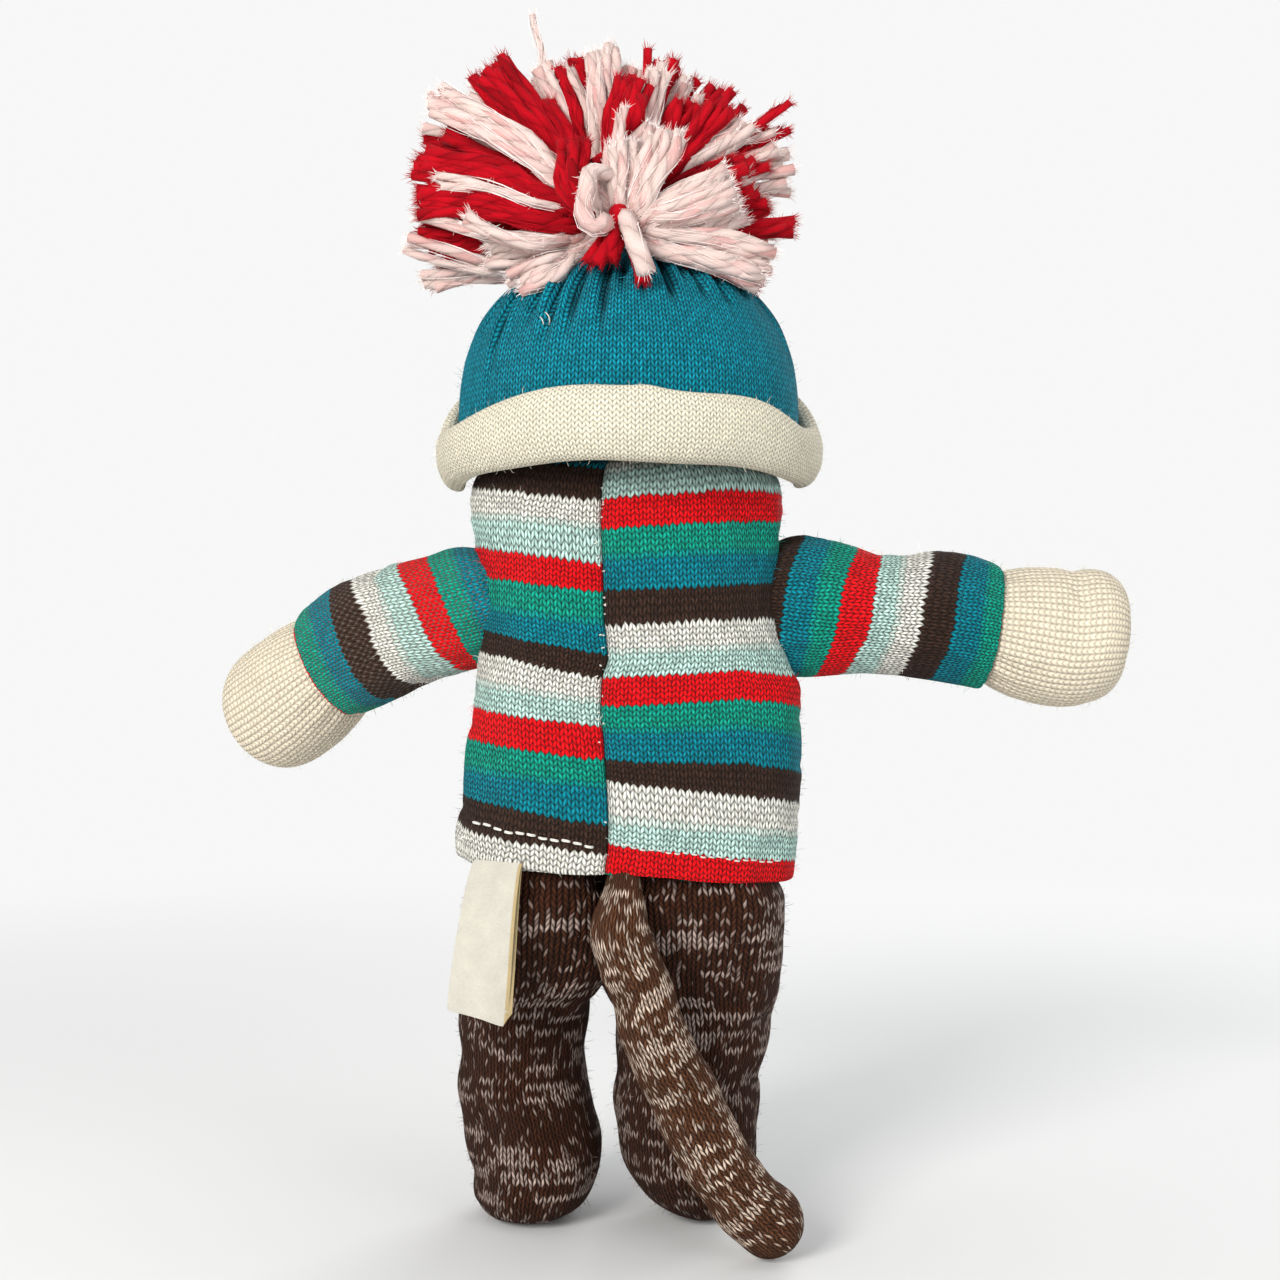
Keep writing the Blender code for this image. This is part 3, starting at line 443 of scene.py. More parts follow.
knits = {
    "sweater": {
        "climb": 1.3, "valley": 0.75, "stripes": stripeStops(), "low": 0.20, "uneven": 0.42, "depth": 0.9,
        "fibre": 0.9, "paintedGlint": 2.4, "paintedGlintColour": (0.70, 0.78, 0.76), "holes": 0.9, "behind": (0.012, 0.012, 0.011),
    },
    "hat": {
        "climb": 1.5, "valley": 0.75, "colour": (0.003, 0.30, 0.41), "low": 0.14, "uneven": 0.5, "depth": 1.0,
        "fibre": 1.0, "paintedGlint": 3.4, "paintedGlintColour": (0.35, 0.85, 0.95), "sway": 0.2, "holes": 0.8, "folds": 0.7,
    },
    "cream": {
        "climb": 1.5, "valley": 0.6, "colour": (0.95, 0.88, 0.70), "low": 0.52, "uneven": 0.14, "depth": 0.7,
        "fibre": 0.34, "paintedGlint": 0.8, "paintedGlintColour": (0.95, 0.93, 0.86), "sway": 0.3, "holes": 0.6,
    },
    "marl": {
        "climb": 2.1, "valley": 1.0, "colour": (0.062, 0.0205, 0.0095), "low": 0.16, "uneven": 0.6, "depth": 0.9,
        "fibre": 0.7, "paintedGlint": 0.8, "paintedGlintColour": (0.5, 0.42, 0.36), "fleck": (0.47, 0.35, 0.30),
        "streakWide": 0.16, "streakHigh": 1.9, "streakFrom": 0.49, "streakGain": 7.0, "faintShare": 0.16,
    },
}
knits["hand"] = dict(
    knits["cream"], ribbed=True, parted=0.78, climb=0.9, valley=0.78, depth=0.75, low=0.50, holes=0.25,
    colour=(0.87, 0.765, 0.595))
knits["tail"] = dict(
    knits["marl"], colour=(0.128, 0.050, 0.0225), low=0.22, paintedGlint=0.9, paintedGlintColour=(0.6, 0.5, 0.42),
    fleck=(0.80, 0.61, 0.48), streakWide=0.2, streakHigh=1.7, streakFrom=0.485, streakGain=6.0, faintShare=0.22)
# the left sleeve is stretched, so the filling shows through its stitches, in a colour darkened by painted shade
knits["sleeveLeft"] = dict(knits["sweater"], behind=(0.25, 0.20, 0.16))
looks = {name: knitLook(name + "Knit", yarn) for name, yarn in knits.items()}
looks["sleeveRight"] = looks["sweater"]
print("knits ready:", ", ".join(looks))


fibreThin, fibreRoot = 0.035, 0.2


def looseFibres(piece, count, reach, seed):
    # short loose fibres standing off a knitted piece, each in the colour of the stitch below it
    mesh, luck = piece.data, np.random.default_rng(seed)
    total = len(mesh.polygons)
    area, center, normal = np.empty(total), np.empty(total * 3), np.empty(total * 3)
    for what, values in (("area", area), ("center", center), ("normal", normal)):
        mesh.polygons.foreach_get(what, values)
    chosen = luck.choice(total, count, p=area / area.sum())
    base, out = center.reshape(-1, 3)[chosen] / mm, normal.reshape(-1, 3)[chosen]
    lean = out + luck.normal(0, 0.9, (count, 3))
    tip = base + lean * (reach * luck.uniform(0.4, 1.0, (count, 1)))
    middle = base * 0.5 + tip * 0.5 + out * reach * 0.15 + luck.normal(0, reach * 0.12, (count, 3))
    side = unit(np.cross(lean, luck.normal(0, 1, (count, 3)))) * fibreThin
    base = base - out * fibreRoot
    points = np.stack([base - side, base + side, middle + side, middle - side, tip], 1).reshape(-1, 3)
    points[:, 2] = points[:, 2].clip(0.0)
    faces = [face for k in range(0, count * 5, 5) for face in ((k, k + 1, k + 2, k + 3), (k + 3, k + 2, k + 4))]
    source, counts = mesh.uv_layers["stitches"].data, []
    for polygon in chosen:
        wale, course = source[mesh.polygons[polygon].loop_start].uv
        counts.extend([(math.floor(wale) + 0.25, course)] * 7)
    return newPiece(piece.name + "Fibres", points, faces, mesh.materials[0], counts)


# sweater: three panels round the trunk, sewn at the back and under the arms

sweater = {
    "squareness": 2.6, "wale": 1.8, "course": 1.42, "fold": 2.4, "dip": 1.25, "dipReach": 1.5,
    "topHeight": 190.6, "hemTurn": 5.0, "waist": 130.0,
}
sweaterLeft = smoothLine(
    (84, 41.2), (92, 41.6), (98, 41.7), (106, 41.0), (121, 39.8), (131, 38.6), (146, 38.4), (160, 38.4), (175, 39.0),
    (181, 39.2), (185, 38.8), (187.8, 37.2), (189.5, 33.6), (190.3, 27.0), (190.6, 17.0),
)
sweaterRight = smoothLine(
    (84, 39.2), (89, 39.8), (96, 40.6), (106, 42.0), (114, 42.7), (134, 42.4), (142, 40.6), (150, 38.7), (160, 37.8),
    (176, 37.8), (181, 37.8), (185, 37.4), (187.8, 35.8), (189.5, 32.2), (190.3, 26.0), (190.6, 17.0),
)
sweaterDeep = smoothLine(
    (84, 28.6), (92, 29.2), (100, 29.4), (113, 28.9), (130, 28.5), (146, 28.3), (160, 28.0), (170, 27.6), (179, 27.0),
    (184, 26.4), (187.8, 24.8), (189.5, 21.8), (190.3, 18.5), (190.6, 15.0),
)
backSeam = smoothLine(
    (88, 5.5), (92, 5.5), (97, 4.9), (102, 4.8), (110, 5.2), (116, 5.7), (123, 6.3), (130, 7.0), (137, 6.7),
    (142, 5.2), (147, 5.6), (151, 6.1), (158, 6.4), (166, 6.7), (175, 7.2), (185, 7.0), (189, 6.6),
)
# heights of the colour changes, going down, in mm: at the seam, halfway and at the side
leftStripes = (
    (186.5, 189.0, 191.5), (178.6, 181.4, 184.2), (172.0, 174.3, 176.6), (163.6, 166.8, 169.7), (157.3, 160.2, 162.7),
    (149.1, 152.2, 154.6), (142.3, 147.2, 150.6), (136.9, 141.6, 145.0), (131.0, 133.8, 135.8), (125.6, 128.4, 130.6),
    (117.7, 120.8, 122.9), (111.1, 113.4, 114.8), (102.2, 106.8, 109.4), (95.6, 99.2, 101.9),
)
leftRows = (4, 5, 4, 5, 5, 5, 4, 5, 4, 5, 5, 5, 4)
rightStripes = (
    (193.0, 195.0, 197.5), (184.9, 190.0, 194.4), (179.0, 181.3, 181.4), (172.0, 173.7, 175.7), (164.5, 165.9, 167.1),
    (157.5, 158.8, 160.5), (149.1, 150.7, 151.7), (142.7, 143.6, 143.8), (136.9, 138.4, 136.4), (130.3, 131.6, 128.3),
    (124.0, 124.5, 120.5), (117.7, 116.7, 112.4), (113.0, 109.1, 105.0), (102.9, 100.1, 96.6), (98.2, 94.2, 91.0),
)
rightRows = (5, 4, 5, 5, 5, 4, 5, 4, 5, 5, 5, 4, 5, 4)
frontStripes = tuple((height, height, height) for height in (
    191.0, 185.3, 178.2, 172.2, 165.0, 158.0, 151.0, 145.2, 138.2, 132.6, 125.4, 118.3, 111.2, 105.5, 98.4, 92.8))
frontRows = (4, 5, 4, 5, 5, 5, 4, 5, 4, 5, 5, 5, 4, 5, 4)
hemLine = smoothLine(
    (-41, 86.6), (-30, 87.6), (-18, 88.3), (-6, 89.8), (4, 90.2), (12, 90.3), (26, 91.0), (36, 91.6), (41.5, 93.0))


def planPoint(turn, height, proud=0.0):
    # turn runs from the doll's left side over its back. the plan is fuller than an ellipse
    cosine, sine = np.cos(turn), np.sin(turn)
    half = np.where(cosine > 0, sweaterLeft(height), sweaterRight(height)) + proud
    deep = sweaterDeep(height) + proud
    power = sweater["squareness"]
    reach = (np.abs(cosine / half) ** power + np.abs(sine / deep) ** power) ** (-1 / power)
    return reach * cosine, reach * sine


def waistPoint(turn):
    return planPoint(turn, np.full(len(turn), sweater["waist"]))


def evenTurns(start, end):
    # turns along the plan, and how far along it they lie
    turns = np.linspace(start, end, 400)
    return turns, walked(np.stack(waistPoint(turns), 1))


def stripePlace(table, rows, start, side, height, folded):
    # the course at a height, counted so that the colour changes fall where they do on the doll. a folded
    # hem is a band of one colour, so its rows are counted back up inside it
    counts = start - np.concatenate([[0], np.cumsum(rows)])
    seam, middle, edge = (column[None, :] for column in np.array(table).T)
    side = np.clip(side, 0, 1)[:, None]
    first = seam * (1 - 2 * side) + middle * (2 * side)
    second = middle * (2 - 2 * side) + edge * (2 * side - 1)
    lines = np.where(side < 0.5, first, second)
    result = np.empty(len(height))
    for i, h in enumerate(height):
        line = lines[i][::-1]
        if h <= line[0]:
            below = (line[0] - h) / sweater["course"]
            result[i] = counts[-1] - (below if below < 3.6 or not folded else 7.2 - below)
        elif h >= line[-1]:
            result[i] = counts[0] + (h - line[-1]) / sweater["course"]
        else:
            result[i] = np.interp(h, line, counts[::-1])
    return result


shoulder = {"out": 45.6, "height": 155.0}
armholes = {1: 18.4, -1: 18.6}  # how wide the hole is on the doll's left and right


def sweaterPanel(name, start, end, table, rows, firstRow, seamAtStart, columns):
    # start and end are turns round the trunk. a back panel starts at the wavy seam
    turns, length = evenTurns(start, end)
    fold, wide = sweater["fold"], length[-1]

    def split(across, up):
        # across the panel, its turn round the trunk, and down from the top, round the hem and up inside it
        s = across * (wide + 2 * fold) - fold
        turn = np.interp(np.clip(s, 0, wide), length, turns)
        x, y = waistPoint(turn)
        total = sweater["topHeight"] - hemLine(x)
        return s, turn, x, (1 - up) * (total + sweater["hemTurn"]), total

    def shape(across, up):
        s, turn, x, down, total = split(across, up)
        height = np.where(down < total, sweater["topHeight"] - down, hemLine(x) + (down - total))
        inside = np.where(down < total, 0.0, np.minimum((down - total) * 0.9, 1.5))
        near = np.exp(-np.clip(total - down, 0, 9) / 1.1)
        height = height + 0.35 * near
        if seamAtStart:
            share = np.clip(1 - np.abs(s) / wide, 0, 1)
            restX = waistPoint(np.full(len(s), start))[0]
            turn = turn - share**2 * (backSeam(height) - restX) / sweaterDeep(height)
        proud = -inside - 0.25 * near
        proud = proud + 0.35 * ripple(turn * 9, height * 0.11, 3) + 0.22 * ripple(turn * 23, height * 0.3, 4)
        hemWave = softStep(110, 92, height)
        proud = proud + hemWave * (0.7 + 0.5 * np.sin(turn * 11 + 1.0) + 0.3 * np.sin(turn * 19))
        for edge in (0.0, wide):
            past = np.where(edge == 0.0, -s, s - wide)
            gap = np.abs(s - edge)
            proud = proud - np.clip(past, 0, None) - sweater["dip"] * np.exp(-gap / sweater["dipReach"])
            pucker = 0.32 * np.sin(height * 1.55 + edge) * np.exp(-gap / 3.5)
            proud = proud + np.where(past > 0, 0, pucker)
        x, y = planPoint(turn, height, proud)
        for side, reach in armholes.items():
            far = np.hypot(y / 0.98, height - shoulder["height"])
            sideOn = softStep(0.45, 0.8, x * side / 40)
            ring = np.exp(-(((far - reach + 0.6) / 1.8) ** 2)) * 0.6
            hollow = softStep(reach, reach - 6, far) * 0.6
            x = x - side * sideOn * (ring + hollow)
        return x, y, height

    def stitches(across, up):
        s, turn, x, down, total = split(across, up)
        side = s / wide if seamAtStart else np.full(len(s), 0.5)
        place = stripePlace(table, rows, firstRow, side, sweater["topHeight"] - down, table is leftStripes)
        return s / sweater["wale"] + 0.25, place

    piece = knitSheet(name, columns, 76, shape, stitches, looks["sweater"])
    return faceOut(piece, (0, 0, sweater["waist"]))


def sewnSweater(places):
    # the seams, the neck and the hem stay where they are sewn
    x, y, z = places.T
    backSeamHeld = np.exp(-np.abs(x - backSeam(z)) / 2.0) * (y > 0)
    sideSeamHeld = np.exp(-np.abs(y) / 2.0) * (np.abs(x) > 30)
    held = np.maximum.reduce([backSeamHeld, sideSeamHeld, softStep(181, 185, z), softStep(98, 93, z)])
    for side, reach in armholes.items():
        far = np.hypot(y, z - shoulder["height"])
        held = np.maximum(held, softStep(reach + 3.5, reach + 0.5, far) * (x * side > 20))
    return held


seamTurn = math.atan2(28.4, 6.2)
topRow = 10 * repeatRows
panels = {}
panelSpecs = (
    ("sweaterBackLeft", seamTurn, 0.0, leftStripes, leftRows, topRow, True, 34, ("sweater_back_left", "body_stuffing")),
    ("sweaterBackRight", seamTurn, math.pi, rightStripes, rightRows, topRow - 4, True, 38, ("sweater_back_right",)),
    ("sweaterFront", math.pi, math.tau, frontStripes, frontRows, topRow, False, 66,
     ("sweater_front", "sweater_collar")),
)
for name, *spec, replaced in panelSpecs:
    panel = panels[name] = sweaterPanel(name, *spec)
    stuffPiece(panel, sewnSweater, {"pressure": 3.0, "slack": 0.03, "cap": 1.4, "frames": 14})
    settle(refine(panel), "torso", "striped_knit", *replaced, fill=0.8)
    hold(looseFibres(panel, 1500, 1.1, len(name)), "torso", "striped_knit")
print("sweater panels:", ", ".join(panels))


# arms: a sleeve knitted round the arm and a cream hand

arms = {
    "wale": 1.8, "handWale": 1.65, "handCourse": 1.4, "girth": math.tau * 16.6,
    "root": -18.7, "drawnEnd": 46.3, "foldAt": 0.93, "wristTuck": 3.0,
    "left": {"side": 1, "down": 21, "turn": -36, "bend": 36, "ends": (45.0, 39.6, 39.9), "tip": 74.8, "lean": 2.2},
    "right": {"side": -1, "down": 6.5, "turn": 180, "bend": 0, "ends": (46.3, 45.5, 44.7), "tip": 78.3, "lean": 0.0},
}
sleeveRadius = smoothLine(
    (-18.7, 0), (-18.1, 4.6), (-16.6, 8.8), (-14, 12.6), (-10.5, 15.6), (-7, 17.2), (-3, 17.9), (2, 17.7), (10, 16.7),
    (17, 15.9), (24, 16.2), (30, 16.7), (37, 16.5), (43, 16.0), (45.4, 15.7), (46.3, 15.2))
handRadius = smoothLine(  # by the share of the way to the tip
    (0, 12.6), (0.10, 14.0), (0.16, 15.0), (0.30, 16.2), (0.5, 17.0), (0.68, 17.1), (0.80, 16.6), (0.885, 15.2),
    (0.945, 12.6), (0.98, 8.4), (1.0, 0.0))
armBow = {
    "right": smoothLine(
        (-18.7, -1.0), (-7, -1.0), (17, -0.4), (30, 0.4), (37, 0.2), (47, -0.7), (62, -1.2), (73, 0.2), (79, 0.2)),
    "left": smoothLine(
        (-18.7, -3.0), (0, -2.6), (12, -0.4), (22, 0.8), (34, 0.7), (44, -0.6), (55, -2.2), (66, -3.2), (79, -3.4)),
}
# where along the arm each count of rows falls: on top, at the back and under it
sleeveRows = {
    "right": (
        ((-18.7, -8), (-4, 0), (2.1, 5), (9.1, 10), (15.4, 15), (20.1, 19), (28, 24), (36.5, 28),
         (41.6, 33), (46.6, 38.2)),
        ((-18.7, -6), (-8.6, 0), (-1.8, 5), (5, 10), (13, 15), (18.3, 19), (24.9, 24), (32.8, 28),
         (39.6, 33), (45.2, 38.2)),
        ((-18.7, -6), (-8, 0), (-2.4, 5), (1.8, 10), (8.4, 15), (15.8, 19), (22.2, 24),
         (30.6, 28), (37.4, 33), (44.6, 38.2))),
    "left": (
        ((-18.7, -2), (-7.2, 5), (-0.7, 10), (7, 15), (12.4, 19), (22.3, 24), (30.2, 28),
         (36.3, 33), (43.5, 38), (45, 39.6)),
        ((-18.7, -2), (-7, 5), (-2.8, 10), (1.3, 15), (5.4, 19), (12.8, 24), (22.8, 28),
         (29.2, 33), (38.0, 38), (39.6, 39.6)),
        ((-18.7, -2), (-6.5, 5), (-3.2, 10), (-0.7, 15), (8, 19), (13.6, 24), (25.8, 28),
         (30.7, 33), (38.3, 38), (39.9, 39.6))),
}


def blended(around, top, side, under):
    # one value on top of the arm, one at its sides and one under it
    cosine = np.cos(around)
    return side + cosine**2 * (np.where(cosine > 0, top, under) - side)


def armFrame(name, along=0.0):
    # how the arm is turned, and a point of its straight middle line
    arm = arms[name]
    turning = Matrix.Rotation(math.radians(arm["turn"]), 3, "Z") @ Matrix.Rotation(math.radians(arm["down"]), 3, "Y")
    turning = np.array(turning)
    return turning, np.array([arm["side"] * shoulder["out"], 0.0, shoulder["height"]]) + turning[:, 0] * along


def armPoint(name, along, around, radius):
    # around starts on top of the arm. the root of the left arm bends back to meet the trunk squarely
    arm = arms[name]
    down = math.radians(arm["down"])
    walk = np.linspace(-20, 90, 441)
    step, straightFrom = walk[1] - walk[0], 10.0
    yaw = np.radians(arm["turn"] + arm["bend"] * softStep(straightFrom, -8, walk))
    path = np.stack([np.cos(yaw) * math.cos(down), np.sin(yaw) * math.cos(down), 0 * walk - math.sin(down)])
    path = np.cumsum(path, axis=1) * step
    fixed = round((straightFrom - walk[0]) / step)
    path = path - path[:, [fixed]] + armFrame(name, straightFrom)[1][:, None]
    center = [np.interp(along, walk, line) for line in path]
    yaw = np.interp(along, walk, yaw)
    back = -radius * np.sin(around) * 0.97
    rise = radius * np.cos(around) + armBow[name](along)
    x = center[0] + np.cos(yaw) * math.sin(down) * rise - np.sin(yaw) * back
    y = center[1] + np.sin(yaw) * math.sin(down) * rise + np.cos(yaw) * back
    return x, y, center[2] + math.cos(down) * rise


def makeSleeve(name):
    arm, root, foldAt = arms[name], arms["root"], arms["foldAt"]
    seed = 11 if name == "left" else 12

    def split(across, up):
        # the last bit of the way turns in under the cuff of the sleeve
        around = across * math.tau
        end = blended(around, *arm["ends"])
        past = np.clip(up - foldAt, 0, None) / (1 - foldAt)
        return around, root + (end - root) * np.clip(up / foldAt, 0, 1) - past * arms["wristTuck"], past, end

    def shape(across, up):
        around, along, past, end = split(across, up)
        radius = sleeveRadius(along + arms["drawnEnd"] - end) - past * 1.3 - 0.5 * softStep(0.88, foldAt, up)
        radius = radius - arm["lean"] * softStep(12, -2, along) * np.cos(around) ** 2
        closed = softStep(root, -13, along)
        uneven = ripple(np.cos(around) * 2.2 + along * 0.07, np.sin(around) * 2.2 + along * 0.16, seed)
        gather = np.exp(-np.abs(along + 7) / 5.5) * closed * np.sin(around * 13 + seed)
        cuffGather = np.exp(-np.abs(44 - along) / 3) * np.sin(around * 17)
        radius = radius + 0.45 * closed * uneven + 0.45 * gather + 0.25 * cuffGather
        seamSide = np.exp(-((turnFrom(around, math.pi) * 16 / 1.3) ** 2))
        return armPoint(name, along, around, np.clip(radius - 0.7 * seamSide * closed, 0, None))

    def stitches(across, up):
        around, along, past, end = split(across, up)
        rows = [np.interp(along, *np.array(table, float).T) for table in sleeveRows[name]]
        return across * round(arms["girth"] / arms["wale"]), blended(around, *rows) + past * 2 + topRow

    fullName = "sleeve" + name.capitalize()
    piece = knitSheet(fullName, 60, 46, shape, stitches, looks[fullName])
    return faceOut(piece, armFrame(name, 20.0)[1])


def makeHand(name):
    arm, seed = arms[name], 21 if name == "left" else 22
    start, tip = min(arm["ends"]) - 2.6, arm["tip"]

    def split(across, up):
        share = 1 - (1 - up) ** 1.5
        return across * math.tau, share, start + (tip - start) * share

    def shape(across, up):
        around, share, along = split(across, up)
        radius = handRadius(share)
        uneven = ripple(np.cos(around) * 2.1 + along * 0.1, np.sin(around) * 2.1, seed)
        gather = np.sin(around * 15 + seed) * np.exp(-np.clip(along - start - 5, 0, None) / 4)
        radius = radius + 0.4 * uneven * np.clip(radius / 12, 0, 1) + 0.35 * gather * softStep(0, 0.05, share)
        flat = 1 - 0.035 * np.cos(2 * around) * softStep(66, 76, along)
        return armPoint(name, along, around, radius * flat)

    def stitches(across, up):
        around, share, along = split(across, up)
        bend = np.clip(along - 70, 0, None) * 0.6
        return across * round(arms["girth"] / arms["handWale"]), (along + bend) / arms["handCourse"]

    piece = knitSheet("hand" + name.capitalize(), 56, 34, shape, stitches, looks["hand"])
    return faceOut(piece, armFrame(name, 62.0)[1])


def sewnArm(name, ends):
    turning, middle = armFrame(name)

    def held(places):
        along = (places - middle) @ turning[:, 0]
        return np.maximum.reduce([np.exp(-np.abs(along - place) / reach) for place, reach in ends])

    return held


for name in sides:
    for piece, ends, slack, cap, frames, slot, stuffed in (
        (makeSleeve(name), ((-11, 5), (46, 2.0)), 0.035, 1.0, 14, "striped_knit", ("sleeve_", "arm_root_stuffing_")),
        (makeHand(name), ((44, 2.5), (79.5, 2.0)), 0.02, 0.8, 12, "cream_knit", ("hand_", "arm_stuffing_")),
    ):
        stuffPiece(piece, sewnArm(name, ends), {"pressure": 3.0, "slack": slack, "cap": cap, "frames": frames})
        settle(refine(piece), "arm_" + name, slot, *(part + name for part in stuffed), fill=0.8)
        hold(looseFibres(piece, 700, 1.1, len(slot)), "arm_" + name, slot)
print("arms ready")


# seat and legs: each half of the seat runs down into its own leg

legs = {
    "wale": 1.9, "course": 1.5, "top": 97.0,
    "left": {"hip": (26.2, -7.0), "round": 17.5, "columns": 50, "inner": 1},
    "right": {"hip": (-16.9, -11.0), "round": 19.5, "columns": 58, "inner": -1},
}
legOutlines = {
    "left": {
        "outer": smoothLine(
            (0.6, 36.0), (2, 37.2), (4, 38.2), (6, 38.9), (11, 39.2), (19, 40.4), (26, 41.5), (34, 42.2), (44, 41.6),
            (51, 42.0), (62, 41.6), (75, 41.0), (86, 40.2), (97, 38.6)),
        "inner": smoothLine(
            (0.6, 15.5), (2, 13.6), (5, 11.2), (9, 9.4), (14, 8.1), (21, 8.6), (29, 10.3), (36, 12.1), (44, 12.2),
            (51, 11.4), (56, 10.2), (60, 7.6), (64, 5.6), (75, 4.6), (97, 4.4)),
        "back": smoothLine(
            (0.6, 1.5), (2, 4.0), (5, 6.8), (9, 8.2), (14, 8.8), (21, 9.0), (29, 8.6), (36, 8.3), (44, 8.6), (52, 10.2),
            (60, 13.5), (68, 18.0), (76, 22.6), (84, 25.6), (91, 26.8), (97, 26.8)),
        "front": smoothLine(
            (0.6, -24.0), (2, -26.2), (5, -28.0), (9, -28.6), (14, -28.0), (21, -26.2), (29, -23.6), (36, -22.6),
            (44, -22.6), (52, -23.6), (60, -25.2), (70, -26.6), (80, -26.8), (97, -26.6)),
    },
    "right": {
        "outer": smoothLine(
            (0.6, -25.0), (2, -26.5), (5, -28.8), (9, -30.4), (14, -31.3), (21, -32.0), (26, -32.2), (36, -33.0),
            (46, -35.2), (56, -36.8), (66, -37.8), (76, -38.6), (86, -38.5), (97, -37.4)),
        "inner": smoothLine(
            (0.6, -12.4), (2, -10.0), (5, -5.4), (9, -1.8), (14, 0.9), (21, 2.6), (31, 3.4), (36, 2.9), (46, 2.6),
            (53, 3.4), (58, 5.6), (63, 7.4), (75, 8.2), (97, 8.2)),
        "back": smoothLine(
            (0.6, -1.0), (2, 1.8), (5, 4.6), (9, 6.6), (14, 7.9), (21, 8.2), (31, 8.6), (44, 9.2), (52, 10.6),
            (60, 13.5), (68, 18.0), (76, 22.6), (84, 25.6), (91, 26.8), (97, 26.8)),
        "front": smoothLine(
            (0.6, -22.5), (2, -26.0), (5, -29.0), (9, -30.6), (14, -30.9), (21, -29.2), (31, -27.4), (44, -28.4),
            (52, -29.8), (60, -30.0), (70, -28.0), (80, -26.8), (97, -26.6)),
    },
}


def makeLeg(name):
    leg, lines = legs[name], legOutlines[name]
    bottom, top, soleShare = 0.6, legs["top"], 0.11
    seed = 31 if name == "left" else 33

    def split(up):
        sole = np.clip(up / soleShare, 0, 1)
        climb = np.clip((up - soleShare) / (1 - soleShare), 0, 1)
        return sole, bottom + (top - bottom) * climb**1.22

    def shape(across, up):
        sole, height = split(up)
        turn = across * math.tau + (math.pi if leg["inner"] > 0 else 0.0)
        outer, inner, back, front = (lines[line](height) for line in ("outer", "inner", "back", "front"))
        half, middle = np.abs(outer - inner) / 2, (outer + inner) / 2
        deep, center = (back - front) / 2, (back + front) / 2
        cosine, sine = np.cos(turn), np.sin(turn)
        towardsInner = 0.5 - 0.5 * cosine * leg["inner"]
        full = softStep(50, 66, height)
        power = 2.15 + full * (0.45 + 3.0 * towardsInner)
        reach = (np.abs(cosine / half) ** power + np.abs(sine / deep) ** power) ** (-1 / power)
        bump = 0.55 * ripple(cosine * 2 + height * 0.05, sine * 2 + height * 0.09, seed) * softStep(0, 14, height)
        pinch = 0.5 * np.sin(height * 0.42 + seed + sine * 1.5) * softStep(70, 52, height) * softStep(4, 16, height)
        crease = np.exp(-(((height - 57) / 2.6) ** 2)) * 1.1 * np.clip(sine, 0, 1)
        crease = crease * softStep(0.2, 0.9, towardsInner + 0.35)
        tuck = 2.8 * softStep(83, 89, height) + 1.5 * softStep(90, 97, height)
        reach = (reach + bump + pinch * 0.6 - crease - tuck) * sole
        sag = (1 - sole**2) * 0.5
        return middle + reach * cosine, center + reach * sine, height + sag

    def stitches(across, up):
        sole, height = split(up)
        return across * round(math.tau * leg["round"] / legs["wale"]), (height - 8 * (1 - sole)) / legs["course"]

    piece = knitSheet("leg" + name.capitalize(), leg["columns"], 66, shape, stitches, looks["marl"])
    return faceOut(piece, (*leg["hip"], 40))


def sewnLeg(places):
    z = places[:, 2]
    return np.maximum(softStep(66, 78, z), softStep(3.5, 1.5, z))


for name in sides:
    piece = makeLeg(name)
    stuffPiece(piece, sewnLeg, {"pressure": 3.0, "slack": 0.03, "cap": 1.1, "frames": 14})
    restPiece(refine(piece))
    for part in (piece, looseFibres(piece, 1500, 1.2, 51)):
        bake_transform(part)
    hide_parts("leg_sock_" + name, "leg_stuffing_" + name)
    if name == "left":
        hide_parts("body_sock")
print("legs ready")


# tail: a thin stuffed tube, folded narrow where it is sewn on

tail = {
    "wale": 1.95, "course": 1.55, "flatness": 0.93,
    "path": (
        (0.6, 24.6, 95.5), (1.0, 26.6, 89.5), (1.4, 29.8, 83.8), (1.6, 31.0, 76.4), (-2.6, 29.5, 65.4),
        (-6.9, 27.9, 52.2), (-13.1, 26.4, 40.1), (-18.6, 25.3, 28.1), (-25.2, 24.6, 17.1), (-33.1, 24.3, 8.8),
    ),
}


def routeThrough(points, steps=24):
    # evenly spaced points of a smooth route
    points = [Vector(point) for point in points]
    dense = []
    for i in range(len(points) - 1):
        before, start, end, after = (points[min(max(i + k, 0), len(points) - 1)] for k in (-1, 0, 1, 2))
        for step in range(steps):
            t = step / steps
            bend = 2 * before - 5 * start + 4 * end - after
            swing = 3 * (start - end) + after - before
            dense.append((2 * start + (end - before) * t + bend * t * t + swing * t**3) / 2)
    dense.append(points[-1])
    return np.array(dense), walked(dense)


